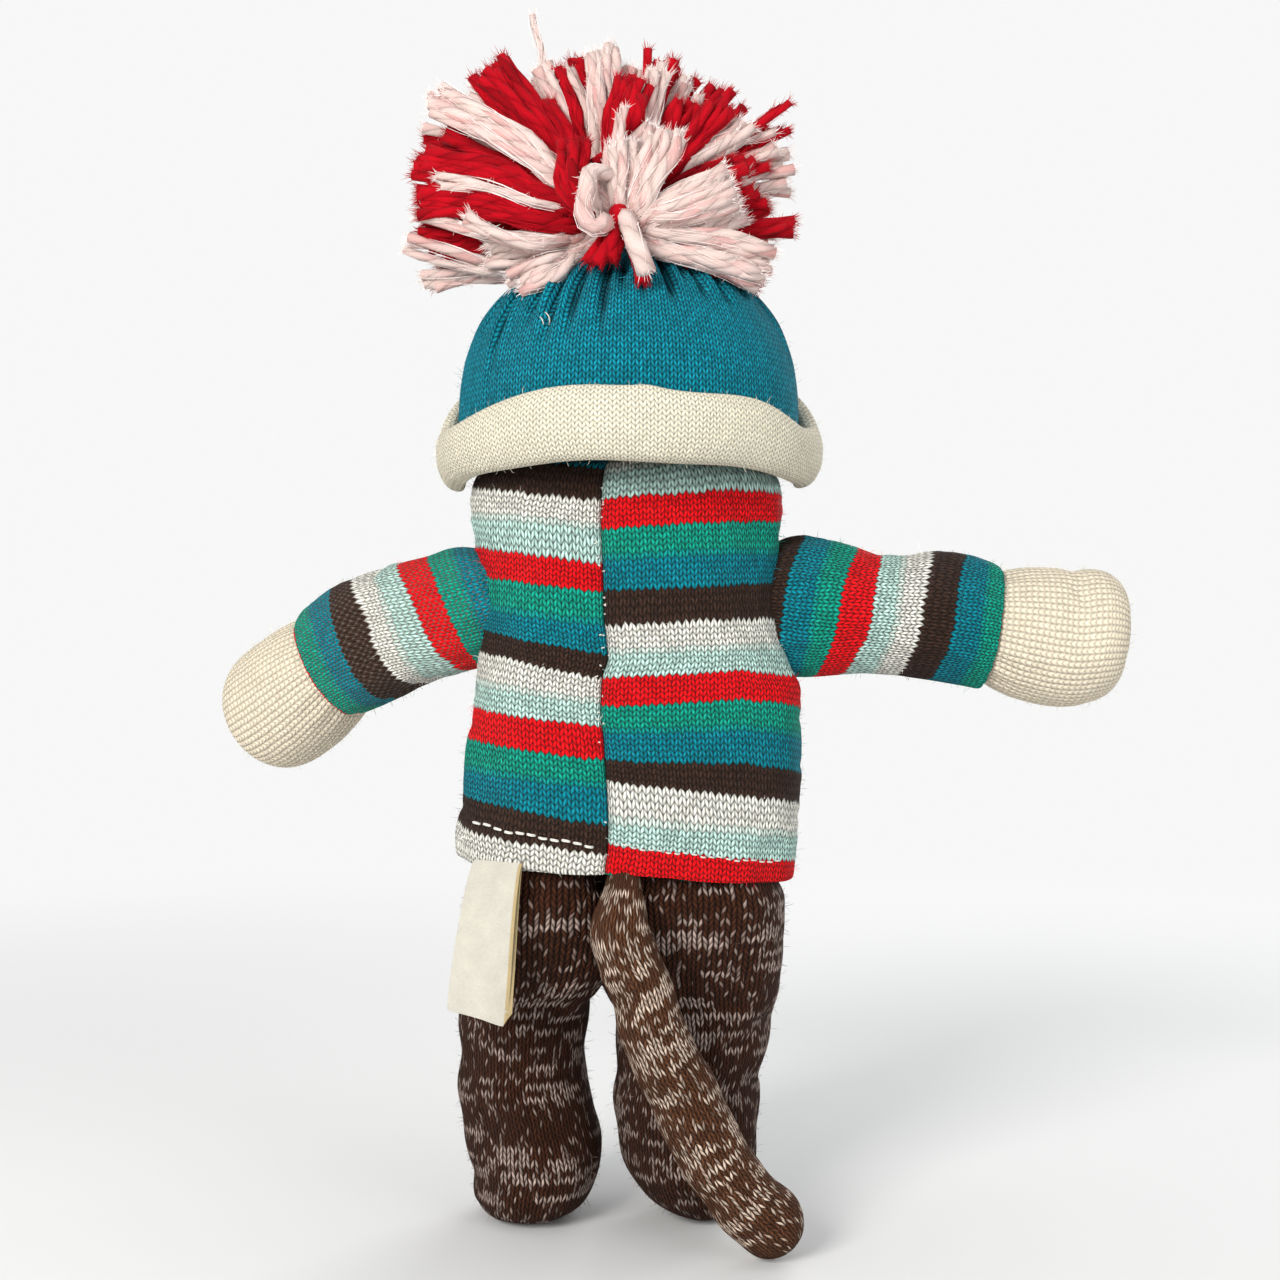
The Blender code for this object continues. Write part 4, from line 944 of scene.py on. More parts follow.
def makeTail():
    route, length = routeThrough(tail["path"])
    whole, root, beyondEnd = length[-1], -1.5, 8.8
    radius = smoothLine(
        (root, 0.0), (-1.2, 1.8), (0, 3.0), (4, 3.6), (9, 4.6), (14, 6.2), (20, 7.4), (30, 7.9), (52, 8.4), (76, 8.8),
        (whole, 8.8), (whole + 3.5, 8.0), (whole + 6.4, 5.8), (whole + 8.2, 3.0), (whole + beyondEnd, 0.0))

    def split(up):
        return root + (whole + beyondEnd - root) * (1 - (1 - up) ** 1.12)

    def spot(place):
        return np.stack([np.interp(np.clip(place, 0, whole), length, line) for line in route.T], 1)

    def shape(across, up):
        around, along = across * math.tau, split(up)
        inside = np.clip(along, 0, whole)
        beyond = along - inside
        forward = unit(spot(inside + 1.5) - spot(inside - 1.5))
        side = unit(np.cross(forward, np.array([0.0, 1.0, 0.0])))
        back = np.cross(side, forward)
        size = radius(along)
        size = size + np.clip(size / 8, 0, 1) * (
            0.35 * ripple(np.cos(around) * 2 + along * 0.12, np.sin(around) * 2, 41)
            + 0.55 * np.sin(around * 3 + 0.6) * softStep(22, 3, along)
            + 0.28 * np.sin(along * 0.5) * np.cos(around - 1.0))
        offset = (side * (np.cos(around) * size)[:, None]
                  + back * (np.sin(around) * size * tail["flatness"])[:, None])
        return tuple((spot(inside) + forward * beyond[:, None] + offset).T)

    def stitches(across, up):
        return across * round(math.tau * 8.4 / tail["wale"]), -split(up) / tail["course"]

    piece = knitSheet("tail", 34, 60, shape, stitches, looks["tail"])
    return faceOut(piece, (-7, 27, 50))


piece = makeTail()
stuffPiece(piece, lambda places: np.maximum(softStep(74, 80, places[:, 2]), softStep(6, 3, places[:, 2])),
           {"pressure": 2.0, "slack": 0.02, "cap": 0.5, "frames": 10})
settle(refine(piece), "tail", "tail_marl", "tail_sock", "tail_stuffing", "tail_gather", fill=0.8)
print("tail ready")


# head: a stuffed sock, mostly under the hat, with a plain traditional face in front

head = {
    "wale": 2.2, "course": 1.85, "bottom": 192.6, "high": 46.0, "flatness": 0.97, "eyeHeight": 209.0,
    "muzzle": (0.0, -37.5, 198.0), "muzzleSize": (16.4, 11.4, 8.6), "earOut": 40.2, "earHeight": 197.5,
}
headRadius = smoothLine(
    (192.6, 4), (193.2, 14), (194.4, 22), (196.5, 29), (199, 33.2), (202, 36.6), (206.3, 39.1), (210, 39.0),
    (214.3, 37.9), (221.4, 34.0), (227.4, 29.0), (231.6, 24.3), (235.4, 16.6), (237.8, 8), (238.6, 0))


def makeHead():
    def split(across, up):
        height = head["bottom"] + head["high"] * (0.5 - 0.5 * np.cos(math.pi * np.clip(up, 0.0, 1)))
        return across * math.tau, height

    def shape(across, up):
        turn, height = split(across, up)
        radius = headRadius(height) * np.where(up <= 0, 0, 1)
        uneven = ripple(np.cos(turn) * 3, np.sin(turn) * 3 + height * 0.1, 51)
        radius = radius + 0.3 * uneven * np.clip(radius / 20, 0, 1)
        return radius * np.sin(turn), -radius * np.cos(turn) * head["flatness"], height

    def stitches(across, up):
        return across * round(math.tau * 38 / head["wale"]), split(across, up)[1] / head["course"]

    piece = knitSheet("headSkin", 72, 44, shape, stitches, looks["marl"])
    return faceOut(piece, (0, 0, 215))


settle(refine(makeHead()), "head", "brown_marl", "head_skin", "head_stuffing", fill=0.85)


def padSheet(name, middle, size, turned, columns, rows, look, wale, course, dent=None):
    # a stuffed oval pad laid out from its own front to back
    def oval(across, up):
        around, tilt = across * math.tau, (up - 0.5) * math.pi
        return (size[0] * np.cos(tilt) * np.cos(around), -size[1] * np.sin(tilt),
                size[2] * np.cos(tilt) * np.sin(around), around)

    def shape(across, up):
        x, y, z, around = oval(across, up)
        if dent is not None:
            x, y, z = dent(x, y, z, around)
        cosine, sine = math.cos(turned), math.sin(turned)
        return middle[0] + x * cosine - y * sine, middle[1] + x * sine + y * cosine, middle[2] + z

    def stitches(across, up):
        x, y, z, around = oval(across, up)
        return x / wale + 40.5, z / course + 20

    piece = knitSheet(name, columns, rows, shape, stitches, look)
    return faceOut(piece, middle)


def muzzleDent(x, y, z, around):
    # fuller below the mouth and drawn in along it
    wide, deep, high = head["muzzleSize"]
    line = z + 1.6 - 2.2 * (x / wide) ** 2
    y = y + 1.3 * np.exp(-((line / 1.2) ** 2)) * np.clip(-y / deep, 0, 1)
    edge = np.clip(1 - np.abs(y) / deep, 0, 1)
    return x * (1 + 0.04 * edge), y, z * (1 + 0.05 * edge) + 0.2 * np.sin(around * 14) * edge


muzzle = padSheet(
    "muzzlePad", head["muzzle"], head["muzzleSize"], 0.0, 56, 36, looks["cream"], 1.6, 1.3, muzzleDent)
settle(refine(muzzle), "head", "cream_knit", "muzzle", fill=0.9)

for name, side in sides.items():
    turn = math.radians(50) * side
    middle = (math.sin(turn) * head["earOut"], -math.cos(turn) * head["earOut"], head["earHeight"])
    turned = turn + (0 if side > 0 else math.pi)
    ear = padSheet("ear" + name.capitalize(), middle, (2.6, 7.0, 6.0), turned, 32, 20, looks["marl"], 2.0, 1.7)
    settle(refine(ear), "head", "brown_marl", "ear_" + name, fill=0.7)


def plainLook(name, colour, roughness, grain, depth, unevenness=0.12, **plain):
    look = Look(name, **plain)
    place = look.node("ShaderNodeTexCoord", {}, {}, 3)
    noise = look.node("ShaderNodeTexNoise", {}, {"Vector": place, "Scale": grain, "Detail": 3.0})
    wear = look.node("ShaderNodeTexNoise", {}, {"Vector": place, "Scale": grain / 9, "Detail": 2.0})
    shade = 1 - unevenness + noise * unevenness + wear * unevenness
    painted = look.mixed(1.0, colour, shade, "MULTIPLY")
    return look.finish(painted, roughness + noise * 0.12, noise, depth * mm, 0.6)


looks["button"] = plainLook(
    "blackButton", (0.012, 0.011, 0.011), 0.22, 900.0, 0.02, Coat_Weight=0.4, Coat_Roughness=0.15)
looks["whiteThread"] = plainLook("whiteThread", (0.80, 0.78, 0.72), 0.75, 2500.0, 0.1, **fabric)


button = {
    "radius": 3.2, "thick": 1.5, "rim": 0.55, "slope": 0.30, "sunk": 0.45, "round": 0.22, "hole": 0.38, "apart": 0.75,
}


def editFaces(piece, *steps):
    # runs the steps on the front face of a piece
    onlySelect(piece)
    bpy.ops.object.mode_set(mode="EDIT")
    bpy.ops.mesh.select_mode(type="FACE")
    bpy.ops.mesh.select_all(action="DESELECT")
    bpy.ops.object.mode_set(mode="OBJECT")
    for face in piece.data.polygons:
        face.select = face.normal.z > 0.9
    bpy.ops.object.mode_set(mode="EDIT")
    for step, settings in steps:
        step(**settings)
    bpy.ops.object.mode_set(mode="OBJECT")


def addCylinder(vertices, radius, depth, place):
    bpy.ops.object.select_all(action="DESELECT")
    location = [along * mm for along in place]
    bpy.ops.mesh.primitive_cylinder_add(vertices=vertices, radius=radius * mm, depth=depth * mm, location=location)
    return bpy.context.object


def makeButton(name, turn):
    # a flat sew-through button: a disc, its raised rim and four holes
    piece = addCylinder(40, button["radius"], button["thick"], (0, 0, button["thick"] / 2))
    piece.name = piece.data.name = name
    inset, move = bpy.ops.mesh.inset, bpy.ops.transform.translate
    editFaces(piece, (inset, {"thickness": button["rim"] * mm}), (inset, {"thickness": button["slope"] * mm}),
              (move, {"value": (0, 0, -button["sunk"] * mm)}), (inset, {"thickness": 0.7 * mm}))
    soft = piece.modifiers.new("rounded", "BEVEL")
    soft.width, soft.segments, soft.limit_method = button["round"] * mm, 3, "ANGLE"
    applyAll(piece)
    for x, y in ((-1, -1), (1, -1), (-1, 1), (1, 1)):
        drill = addCylinder(16, button["hole"], 4, (x * button["apart"], y * button["apart"], 0))
        hole = piece.modifiers.new("hole", "BOOLEAN")
        hole.object, hole.operation = drill, "DIFFERENCE"
        applyAll(piece)
        bpy.data.objects.remove(drill)
    onlySelect(piece)
    bpy.ops.object.shade_smooth_by_angle(angle=math.radians(35))
    piece.data.materials.append(looks["button"])
    height = head["eyeHeight"]
    out = float(headRadius(height)) * mm
    base = Vector((out * math.sin(turn), -out * head["flatness"] * math.cos(turn), height * mm))
    facing = Matrix.Rotation(turn, 4, "Z") @ Matrix.Rotation(math.radians(90), 4, "X")
    place = Matrix.Translation(base + base.xy.normalized().to_3d() * 0.25 * mm) @ facing
    piece.matrix_world = place
    return piece, place


yarnSide = (0.31, 0.52, 0.79)  # a direction that no yarn starts along


def roundStrands(name, strands, corners, look):
    # one mesh of closed tubes. a strand is its route, the reach of each ring's corners, how far each ring is
    # along the yarn's twist, and how far its two tips stand out
    places, faces, counts = [], [], []
    around = math.tau * np.arange(corners) / corners
    for route, reaches, twists, tips in strands:
        forward = unit(np.gradient(route, axis=0))
        side, first, last = np.cross(forward[0], yarnSide), len(places), len(route) - 1
        for place, ahead, reach in zip(route, forward, reaches):
            side = unit(side - ahead * (side @ ahead))
            other = np.cross(ahead, side)
            places.extend(place + np.outer(np.cos(around) * reach, side) + np.outer(np.sin(around) * reach, other))
        after = [*range(1, corners), 0]
        for i in range(last):
            low = first + i * corners
            for k in range(corners):
                faces.append((low + k, low + after[k], low + corners + after[k], low + corners + k))
                u, v, more = k / corners, twists[i], twists[i + 1]
                counts.extend(((u, v), (u + 1 / corners, v), (u + 1 / corners, more), (u, more)))
        for ring, tip in zip((0, last), tips):
            places.append(route[ring] + forward[ring] * tip)
            low = first + ring * corners
            for k in range(corners):
                edge = (low + k, low + after[k]) if ring else (low + after[k], low + k)
                faces.append((*edge, len(places) - 1))
                v = twists[ring]
                counts.extend(((k / corners, v), ((k + 1) / corners, v), ((k + 0.5) / corners, v)))
    piece = newPiece(name, places, faces, look, counts)
    piece.data.shade_smooth()
    return piece


def yarnTube(name, routes, radius, look, corners=8, turns=5.0):
    # round yarns, each along its own route in mm. turns is how long one turn of the twist is
    strands = []
    for route in routes:
        route = np.asarray(route, float)
        strands.append((route, np.full((len(route), corners), radius), walked(route) / turns, (-0.25, 0.25 * radius)))
    return roundStrands(name, strands, corners, look)


def yarnLook(name, first, second, share, plyGrooveShade=0.35):
    # two plies twisted round each other, with fine fibres along them
    look = Look(name, **fabric)
    around, along = look.spread()
    twist = (around * 2 + along).part() * 2 - 1
    ply = (1 - twist * twist).clamped() ** 0.5
    strand = (around * 2 + along).whole()
    fibre = look.cloud(around * 14 + along * 7, along * 3.0, 1.0, 2.0)
    patch = look.cloud(along * 0.35, strand * 1.7, 4.0, 1.0)
    colour = look.mixed(((patch - share) * 4).clamped(), first, second)
    # painted shade: darker in the groove between the two plies
    shade = (plyGrooveShade + (1 - plyGrooveShade) * ply) * (0.80 + fibre * 0.40)
    colour = look.mixed(1.0, colour, shade, "MULTIPLY")
    return look.finish(colour, 0.85 + fibre * 0.1, ply + fibre * 0.5, 0.35 * mm, 0.7)


looks["thread"] = yarnLook("thread", (0.80, 0.78, 0.72), (0.72, 0.70, 0.64), 0.5, 0.7)
looks["redYarn"] = yarnLook("redYarn", (0.42, 0.003, 0.010), (0.20, 0.002, 0.005), 0.47, 0.62)
# painted light: the white yarn is coloured pink and dim in patches, standing in for red light reflected off the red
# yarns and for the shade between strands
looks["whiteYarn"] = yarnLook("whiteYarn", (0.63, 0.49, 0.45), (0.54, 0.28, 0.26), 0.48, 0.66)

for name, side in sides.items():
    eye, place = makeButton("eye" + name.capitalize(), side * math.radians(19))
    settle(eye, "head", "button", "eye_" + name)
    crossing = []
    for sign in (1, -1):
        heights = [1.32 + 0.3 * (1 - t * t) - 0.9 * abs(t) ** 8 for t in np.linspace(-1, 1, 9)]
        line = zip(np.linspace(-0.85, 0.85, 9), np.linspace(-0.85, 0.85, 9) * sign, heights)
        crossing.append([tuple(place @ (Vector(spot) * mm) / mm) for spot in line])
    sewing = yarnTube("eyeThread" + name.capitalize(), crossing, 0.22, looks["whiteThread"], 6, turns=1.0)
    settle(sewing, "head")


def onMuzzle(turn, tilt, proud, lean=0.0):
    # a point in mm of an oval that is a little larger than the muzzle
    x, y, z = head["muzzle"]
    wide, deep, high = (size + more for size, more in zip(head["muzzleSize"], proud))
    return (x + wide * math.cos(tilt) * math.sin(turn + lean), y - deep * math.cos(tilt) * math.cos(turn),
            z + high * math.sin(tilt))


mouthLine = [
    onMuzzle(math.radians(48) * share, math.radians(-22) + math.radians(20) * share * share, (0.35, 0.35, 0.35))
    for share in np.linspace(-1, 1, 33)]
mouthLine = [(x, y + 0.2, z) for x, y, z in mouthLine]
settle(yarnTube("mouth", [mouthLine], 0.62, looks["redYarn"], 10, turns=2.2), "head", "red_yarn", "mouth")

nostrils = [
    [onMuzzle(side * 0.16, 0.42 + 0.12 * t, (0.35, 0.5 * (1 - t * t), 0.05), lean) for t in np.linspace(-1, 1, 7)]
    for side in (-1, 1) for lean in (0.0, 0.025)]
settle(yarnTube("noseStitches", nostrils, 0.32, looks["thread"], 7, turns=1.2), "head")
print("head and face ready")


# neck: the sock between the sweater and the head, with the sweater's ribbed neckband round it

neckPlace = {"bottom": 184.0, "high": 9.5, "radius": 12.6, "bandRadius": 15.4, "bandHeight": 189.3}


def neckShape(across, up):
    turn = across * math.tau
    radius = neckPlace["radius"] + 0.25 * np.cos(turn * 24) - 0.8 * softStep(0.8, 1, up)
    return radius * np.cos(turn), radius * np.sin(turn), neckPlace["bottom"] + neckPlace["high"] * up


neck = knitSheet("neckSkin", 72, 8, neckShape, lambda across, up: (across * 36, up * 5), looks["marl"])
settle(refine(faceOut(neck, (0, 0, 188))), "neck", "brown_marl", "neck_stuffing")


def bandShape(across, up):
    # a rib folded over on itself
    turn, side = across * math.tau, up * math.tau
    rib = 0.3 * np.cos(turn * 34) * np.clip(np.sin(side) + 0.6, 0, 1)
    out = neckPlace["bandRadius"] + (1.9 + rib) * np.cos(side)
    return out * np.cos(turn), out * np.sin(turn), neckPlace["bandHeight"] + (1.25 + rib * 0.4) * np.sin(side)


band = knitSheet("sweaterNeckband", 136, 14, bandShape, lambda across, up: (across * 68, up * 6 + 1), looks["sweater"])
settle(faceOut(band, (0, 0, 189)), "torso", "striped_knit")


# hat: a crown gathered into the knot and a cream cuff turned up round it

hat = {"wale": 1.72, "course": 1.5, "cuffWale": 1.62, "cuffCourse": 1.28, "flatness": 0.975, "knotHeight": 249.5}
crownRadius = smoothLine(
    (180, 42.2), (197, 42.2), (206, 41.9), (213.7, 40.8), (218.8, 39.0), (223.8, 36.6), (228.6, 33.2), (233.0, 28.6),
    (237.2, 22.6), (240.6, 15.6), (243.0, 9.6), (245.4, 5.0), (248.0, 3.2), (250.0, 3.0))


# how far over the crown each height lies
overCrown = smoothLine((180, 0), (206, 26), (224, 46), (233, 58), (240.6, 74), (243, 81), (250, 90))


def cuffBottom(turn):
    # the cuff hangs lower at the sides, and is pushed up off the face in front
    facing = np.cos(turn)
    front = 34.5 * np.clip(facing, 0, 1) ** 1.1
    back = 3.6 * np.clip(-facing, 0, 1) ** 1.5
    return 183.5 + front + back + 0.35 * np.sin(turn * 3 + 1.0) + 0.25 * np.sin(turn * 7)


pleatLuck = random.Random(8)
pleats = [math.pi + turn for turn in (
    -1.16, -0.90, -0.66, -0.50, -0.36, -0.16, -0.04, 0.10, 0.31, 0.45, 0.56, 0.75, 1.0)]
pleatReach = [41, 44, 40, 42, 42, 41.5, 36, 37, 38, 34, 37.5, 38, 35]
for k in range(12):
    pleats.append((k + 0.5 + pleatLuck.uniform(-0.3, 0.3)) / 12 * 3.8 - 1.9)
    pleatReach.append(pleatLuck.uniform(34, 43))
pleatDeep = [pleatLuck.uniform(1.9, 2.8) for pleat in pleats]


def foldDepth(turn, fromKnot):
    # how far the gathered folds sink, with a soft ridge on each side
    depth = 0 * turn
    for pleat, reach, deep in zip(pleats, pleatReach, pleatDeep):
        beside = np.abs(turnFrom(turn, pleat) * fromKnot / 1.05)
        groove = np.exp(-(beside**1.7)) - 0.4 * np.exp(-(((beside - 2.3) / 1.2) ** 2))
        depth = depth + deep * groove * softStep(reach, reach - 7, fromKnot) * softStep(2.5, 9, fromKnot)
    return depth


def makeCrown():
    def split(across, up):
        turn = across * math.tau
        low = cuffBottom(turn) + 7.0
        return turn, low + (hat["knotHeight"] - low) * np.sin(np.clip(up, 0, 1) * math.pi / 2) ** 1.15

    def shape(across, up):
        turn, height = split(across, up)
        fromKnot = crownRadius(height)
        deep = foldDepth(turn, fromKnot) * 0.8
        height = height - deep
        uneven = ripple(np.cos(turn) * 3, np.sin(turn) * 3 + height * 0.12, 61)
        radius = fromKnot - deep + 0.55 * uneven * softStep(4, 20, fromKnot)
        return radius * np.sin(turn), -radius * np.cos(turn) * hat["flatness"], height

    def stitches(across, up):
        turn, height = split(across, up)
        return across * round(math.tau * 41 / hat["wale"]), overCrown(height) / hat["course"]

    piece = knitSheet("hatCrown", 240, 60, shape, stitches, looks["hat"])
    # the fold attribute is how deep each point lies in a fold, for the painted shade there
    x, y, z = vertexPlaces(piece).T / mm
    y = y / hat["flatness"]
    foldShade = np.clip(foldDepth(np.arctan2(x, -y), np.hypot(x, y) + 1.0) / 1.8, 0, 1)
    piece.data.attributes.new("fold", "FLOAT", "POINT").data.foreach_set("value", foldShade.astype(np.float32))
    return faceOut(piece, (0, 0, 215))


cuffSections = (  # share of the way, out from the crown, up from the lower edge
    (0.00, 0.6, 9.0), (0.08, -0.6, 5.4), (0.14, -1.5, 2.8), (0.20, -1.5, 0.8), (0.26, -0.2, 0.0), (0.32, 1.9, 0.6),
    (0.40, 3.9, 3.0), (0.52, 5.3, 7.2), (0.64, 5.5, 11.2), (0.74, 4.8, 14.2), (0.80, 3.9, 15.8), (0.85, 2.7, 16.6),
    (0.90, 1.6, 16.3), (0.95, 1.0, 15.0), (1.00, 0.8, 12.0))


def makeCuff():
    outLine = smoothLine(*[(share, out) for share, out, rise in cuffSections])
    riseLine = smoothLine(*[(share, rise) for share, out, rise in cuffSections])
    walk = np.linspace(0, 1, 200)
    way = walked(np.stack([outLine(walk), riseLine(walk)], 1))

    def shape(across, up):
        turn = across * math.tau
        share = np.interp(up * way[-1], way, walk)
        narrow = 1 - 0.22 * np.exp(-(((np.abs(turnFrom(turn, 0)) - 2.0) / 0.32) ** 2))
        height = cuffBottom(turn) + riseLine(share) * narrow * (1 + 0.03 * np.sin(turn * 5))
        peak = np.exp(-np.abs((turnFrom(turn, math.pi) - 0.10) / 0.10))
        height = height + softStep(0.6, 0.85, share) * 1.3 * peak
        outerFace = softStep(0.2, 0.4, share) * softStep(0.95, 0.8, share)
        uneven = 0.5 * np.sin(turn * 4 + 0.7) + 0.35 * np.sin(turn * 9 + 2.0) + 0.3 * ripple(turn * 6, height * 0.3, 71)
        radius = crownRadius(np.maximum(height, 203)) + 0.4 + outLine(share) + outerFace * uneven
        return radius * np.sin(turn), -radius * np.cos(turn) * hat["flatness"], height

    def stitches(across, up):
        return across * round(math.tau * 45 / hat["cuffWale"]), up * way[-1] / hat["cuffCourse"]

    piece = knitSheet("hatCuff", 150, 40, shape, stitches, looks["cream"])
    return faceOut(piece, (0, 0, 180))


crown = refine(makeCrown())
for piece, slot, fill, part in (
    (crown, "blue_knit", 0.8, "hat_crown"), (refine(makeCuff()), "cream_knit", 0.5, "hat_cuff"),
):
    settle(piece, "head", slot, part, fill=fill)
    hold(looseFibres(piece, 1500, 1.1, 61), "head", slot)
print("hat ready")


# pom-pom: cut yarn tied in its middle, in bunches of red and white

pompom = {
    "knot": (0.0, 0.0, 249.5), "sides": 8, "steps": 15, "behind": 210, "twist": 7.5, "wobble": 0.5, "fuller": 1.5,
}
bunches = [  # colour, yarns, thickness, spread, and the places in mm that the bunch passes
    ("white", 2, 2.6, 3, ((33, 14, 236), (44, 14, 240), (55, 13, 243))),
    ("white", 3, 2.8, 5, ((21.5, 12, 237), (39.5, 9, 236.5), (49.5, 8, 235))),
    ("red", 1, 2.4, 2, ((24.5, 4, 237.5), (37, 3, 237), (49, 3, 234.5))),
    ("white", 4, 3, 5, ((14, 24, 236), (19.5, 26, 233.5), (26.5, 24, 231))),
    ("white", 5, 3, 7, ((17.5, 20, 240.5), (26, 20, 240), (32.5, 18, 240))),
    ("red", 3, 2.8, 4, ((21.5, 14, 247), (35, 13, 244.5), (49.5, 12, 243.5))),
    ("red", 2, 2.8, 3, ((21.5, 14, 243), (30, 13, 241.5), (44, 12, 240))),
    ("white", 1, 2.4, 1, ((23.5, 20, 242), (40, 19, 245.5), (52.5, 17, 249))),
    ("red", 2, 2.8, 3, ((24, 13, 245), (42.5, 12, 247), (51, 11, 248.5))),
    ("red", 5, 3, 6, ((19, 20, 246), (35.5, 19, 250.5), (50.5, 16, 252))),
    ("white", 1, 2.6, 1, ((20, 21, 250), (33, 20.5, 254), (46, 18, 256.5))),
    ("white", 1, 2.8, 2, ((23, 27, 238.5), (32.5, 28, 242), (39, 27, 246.5))),
    ("red", 6, 3.2, 6, ((15, 20, 250), (31, 19, 257), (50.5, 15, 262))),
    ("red", 4, 3, 4, ((14, 16, 255), (31, 15, 261.5), (44.5, 12, 269))),
    ("white", 3, 3, 5, ((18, 9, 252.5), (32.5, 10, 257), (46.5, 8, 261))),
    ("red", 1, 2.8, 1, ((18, 14, 248.5), (30, 13, 252.5), (35.5, 10, 259))),
    ("white", 7, 3, 6, ((14, 20, 255), (27, 19, 266), (47, 15, 277.5))),
    ("white", 2, 2.6, 3, ((18, 14, 257.5), (32.5, 12, 266), (43, 9, 272.5))),
    ("red", 7, 3, 9, ((13, 12, 258), (24, 11, 273), (34.5, 8, 287))),
    ("white", 2, 2.8, 3, ((17, 2, 268), (31, 1, 279.5), (39, 0, 284.5))),
    ("white", 4, 3, 5, ((12.5, 6, 264.5), (19.5, 5, 277.5), (24, 3, 286.5))),
    ("red", 2, 2.8, 2, ((12.5, 10, 263), (17, 9, 272.5), (19.5, 8, 278))),
    ("white", 2, 3, 3, ((11.5, 7, 267), (17, 6, 278), (20.5, 4, 288.5))),
    ("red", 2, 3, 2, ((11, 8, 265.5), (14.5, 7, 277.5), (18, 5, 289))),
    ("white", 2, 3, 3, ((9, 6, 267), (12.5, 5, 280), (16, 3, 288.5))),
    ("red", 2, 2.8, 3, ((8.5, 4, 270), (10.5, 3, 281.5), (13.5, 2, 291.5))),
    ("white", 6, 3.2, 6, ((6, 10, 263.5), (6.5, 9, 278.5), (7, 6, 291.5))),
    ("red", 5, 3.2, 7, ((9.5, 22, 248.5), (13, 26, 254.5), (13, 24, 264.5))),
    ("red", 3, 3.2, 3, ((4, 15, 258.5), (3.5, 15, 272), (1, 12, 283))),
    ("red", 3, 3, 4, ((1, 16, 261), (-0.5, 17, 269), (-3, 15, 280))),
    ("white", 1, 2, 1, ((2, 24, 250.5), (2, 26, 261.5), (1.5, 24, 270.5))),
    ("white", 3, 3, 4, ((2, 5, 265), (-0.5, 4, 279), (-1.5, 2, 289))),
    ("red", 2, 2.8, 3, ((-0.5, 3, 268), (-4, 3, 281.5), (-6, 1, 293))),
    ("white", 3, 3, 4, ((-0.5, 11, 259.5), (-4, 12, 271.5), (-7.5, 9, 287))),
    ("red", 1, 2.4, 1, ((-3, 8, 261.5), (-6.5, 8, 274), (-8.5, 6, 281.5))),
    ("white", 3, 2.8, 5, ((-3.5, 0, 266), (-8.5, -2, 278), (-10.5, -3, 283.5))),
    ("white", 2, 2.8, 3, ((-4.5, 3, 268), (-10, 2, 278), (-14.5, 0, 286))),
    ("red", 4, 3, 5, ((-4, 10, 257.5), (-9.5, 10, 268.5), (-14.5, 8, 278.5))),
    ("red", 5, 3, 5, ((-5, 13, 255.5), (-13, 13, 265), (-23, 11, 277))),
    ("white", 1, 2.8, 1, ((-6, 6, 261), (-13.5, 5, 273), (-17.5, 3, 281.5))),
    ("white", 6, 3, 6, ((-4, 12, 252), (-14.5, 12, 262), (-28, 9, 272))),
    ("red", 2, 2.2, 1, ((-6, 8, 253), (-20.5, 8, 264), (-38, 5, 278.5))),
    ("red", 1, 2.2, 1, ((-6.5, 7, 252.5), (-22.5, 6, 264), (-40, 4, 272.5))),
    ("white", 4, 2.6, 5, ((-6, 8, 252), (-20.5, 8, 261.5), (-36.5, 5, 270))),
    ("red", 5, 3, 5, ((-4, 20, 248), (-12.5, 21, 254), (-27, 17, 261))),
    ("red", 2, 3, 3, ((-6, 10, 250), (-18.5, 10, 257.5), (-32.5, 8, 263.5))),
    ("white", 4, 3.4, 6, ((-1, 26, 246.5), (-5, 29, 255), (-10, 27, 266))),
    ("white", 5, 3, 6, ((1.5, 24, 245.5), (2, 27, 253), (1.5, 26, 263.5))),
    ("white", 2, 2.8, 3, ((0.5, 22, 251), (-1, 23, 260), (-5.5, 20, 268.5))),
    ("red", 1, 2.8, 1, ((0, 20, 248), (-2, 22, 257), (-5.5, 21, 264))),
    ("white", 5, 3.2, 8, ((3, 22, 246), (4, 27, 249.5), (5, 25, 255.5))),
    ("white", 7, 3, 9, ((-2, 26, 245), (-11.5, 29, 248), (-23.5, 26, 253.5))),
    ("white", 6, 3, 7, ((-3, 24, 243.5), (-13.5, 25, 243.5), (-26, 21, 249.5))),
    ("red", 2, 2.8, 3, ((-5, 16, 247.5), (-18, 16, 251.5), (-29.5, 14, 255.5))),
    ("white", 1, 2.8, 2, ((-5, 14, 248.5), (-18, 14, 254), (-29, 12, 259.5))),
    ("red", 3, 2.8, 4, ((-5, 12, 247), (-18.5, 12, 249.5), (-34, 9, 254))),
    ("red", 3, 2.8, 3, ((-6.5, 14, 245.5), (-23.5, 14, 245.5), (-40, 11, 247.5))),
    ("red", 2, 2.8, 3, ((-6.5, 16, 244), (-20, 17, 243), (-30.5, 15, 241))),
    ("white", 2, 2.6, 3, ((-6.5, 12, 245), (-20.5, 12, 244), (-35, 9, 244))),
    ("white", 8, 3.2, 9, ((-3.5, 26, 241.5), (-15.5, 27, 238.5), (-33, 22, 235))),
    ("red", 2, 2.8, 2, ((-5, 20, 240.5), (-17.5, 21, 235), (-31.5, 18, 232)))]
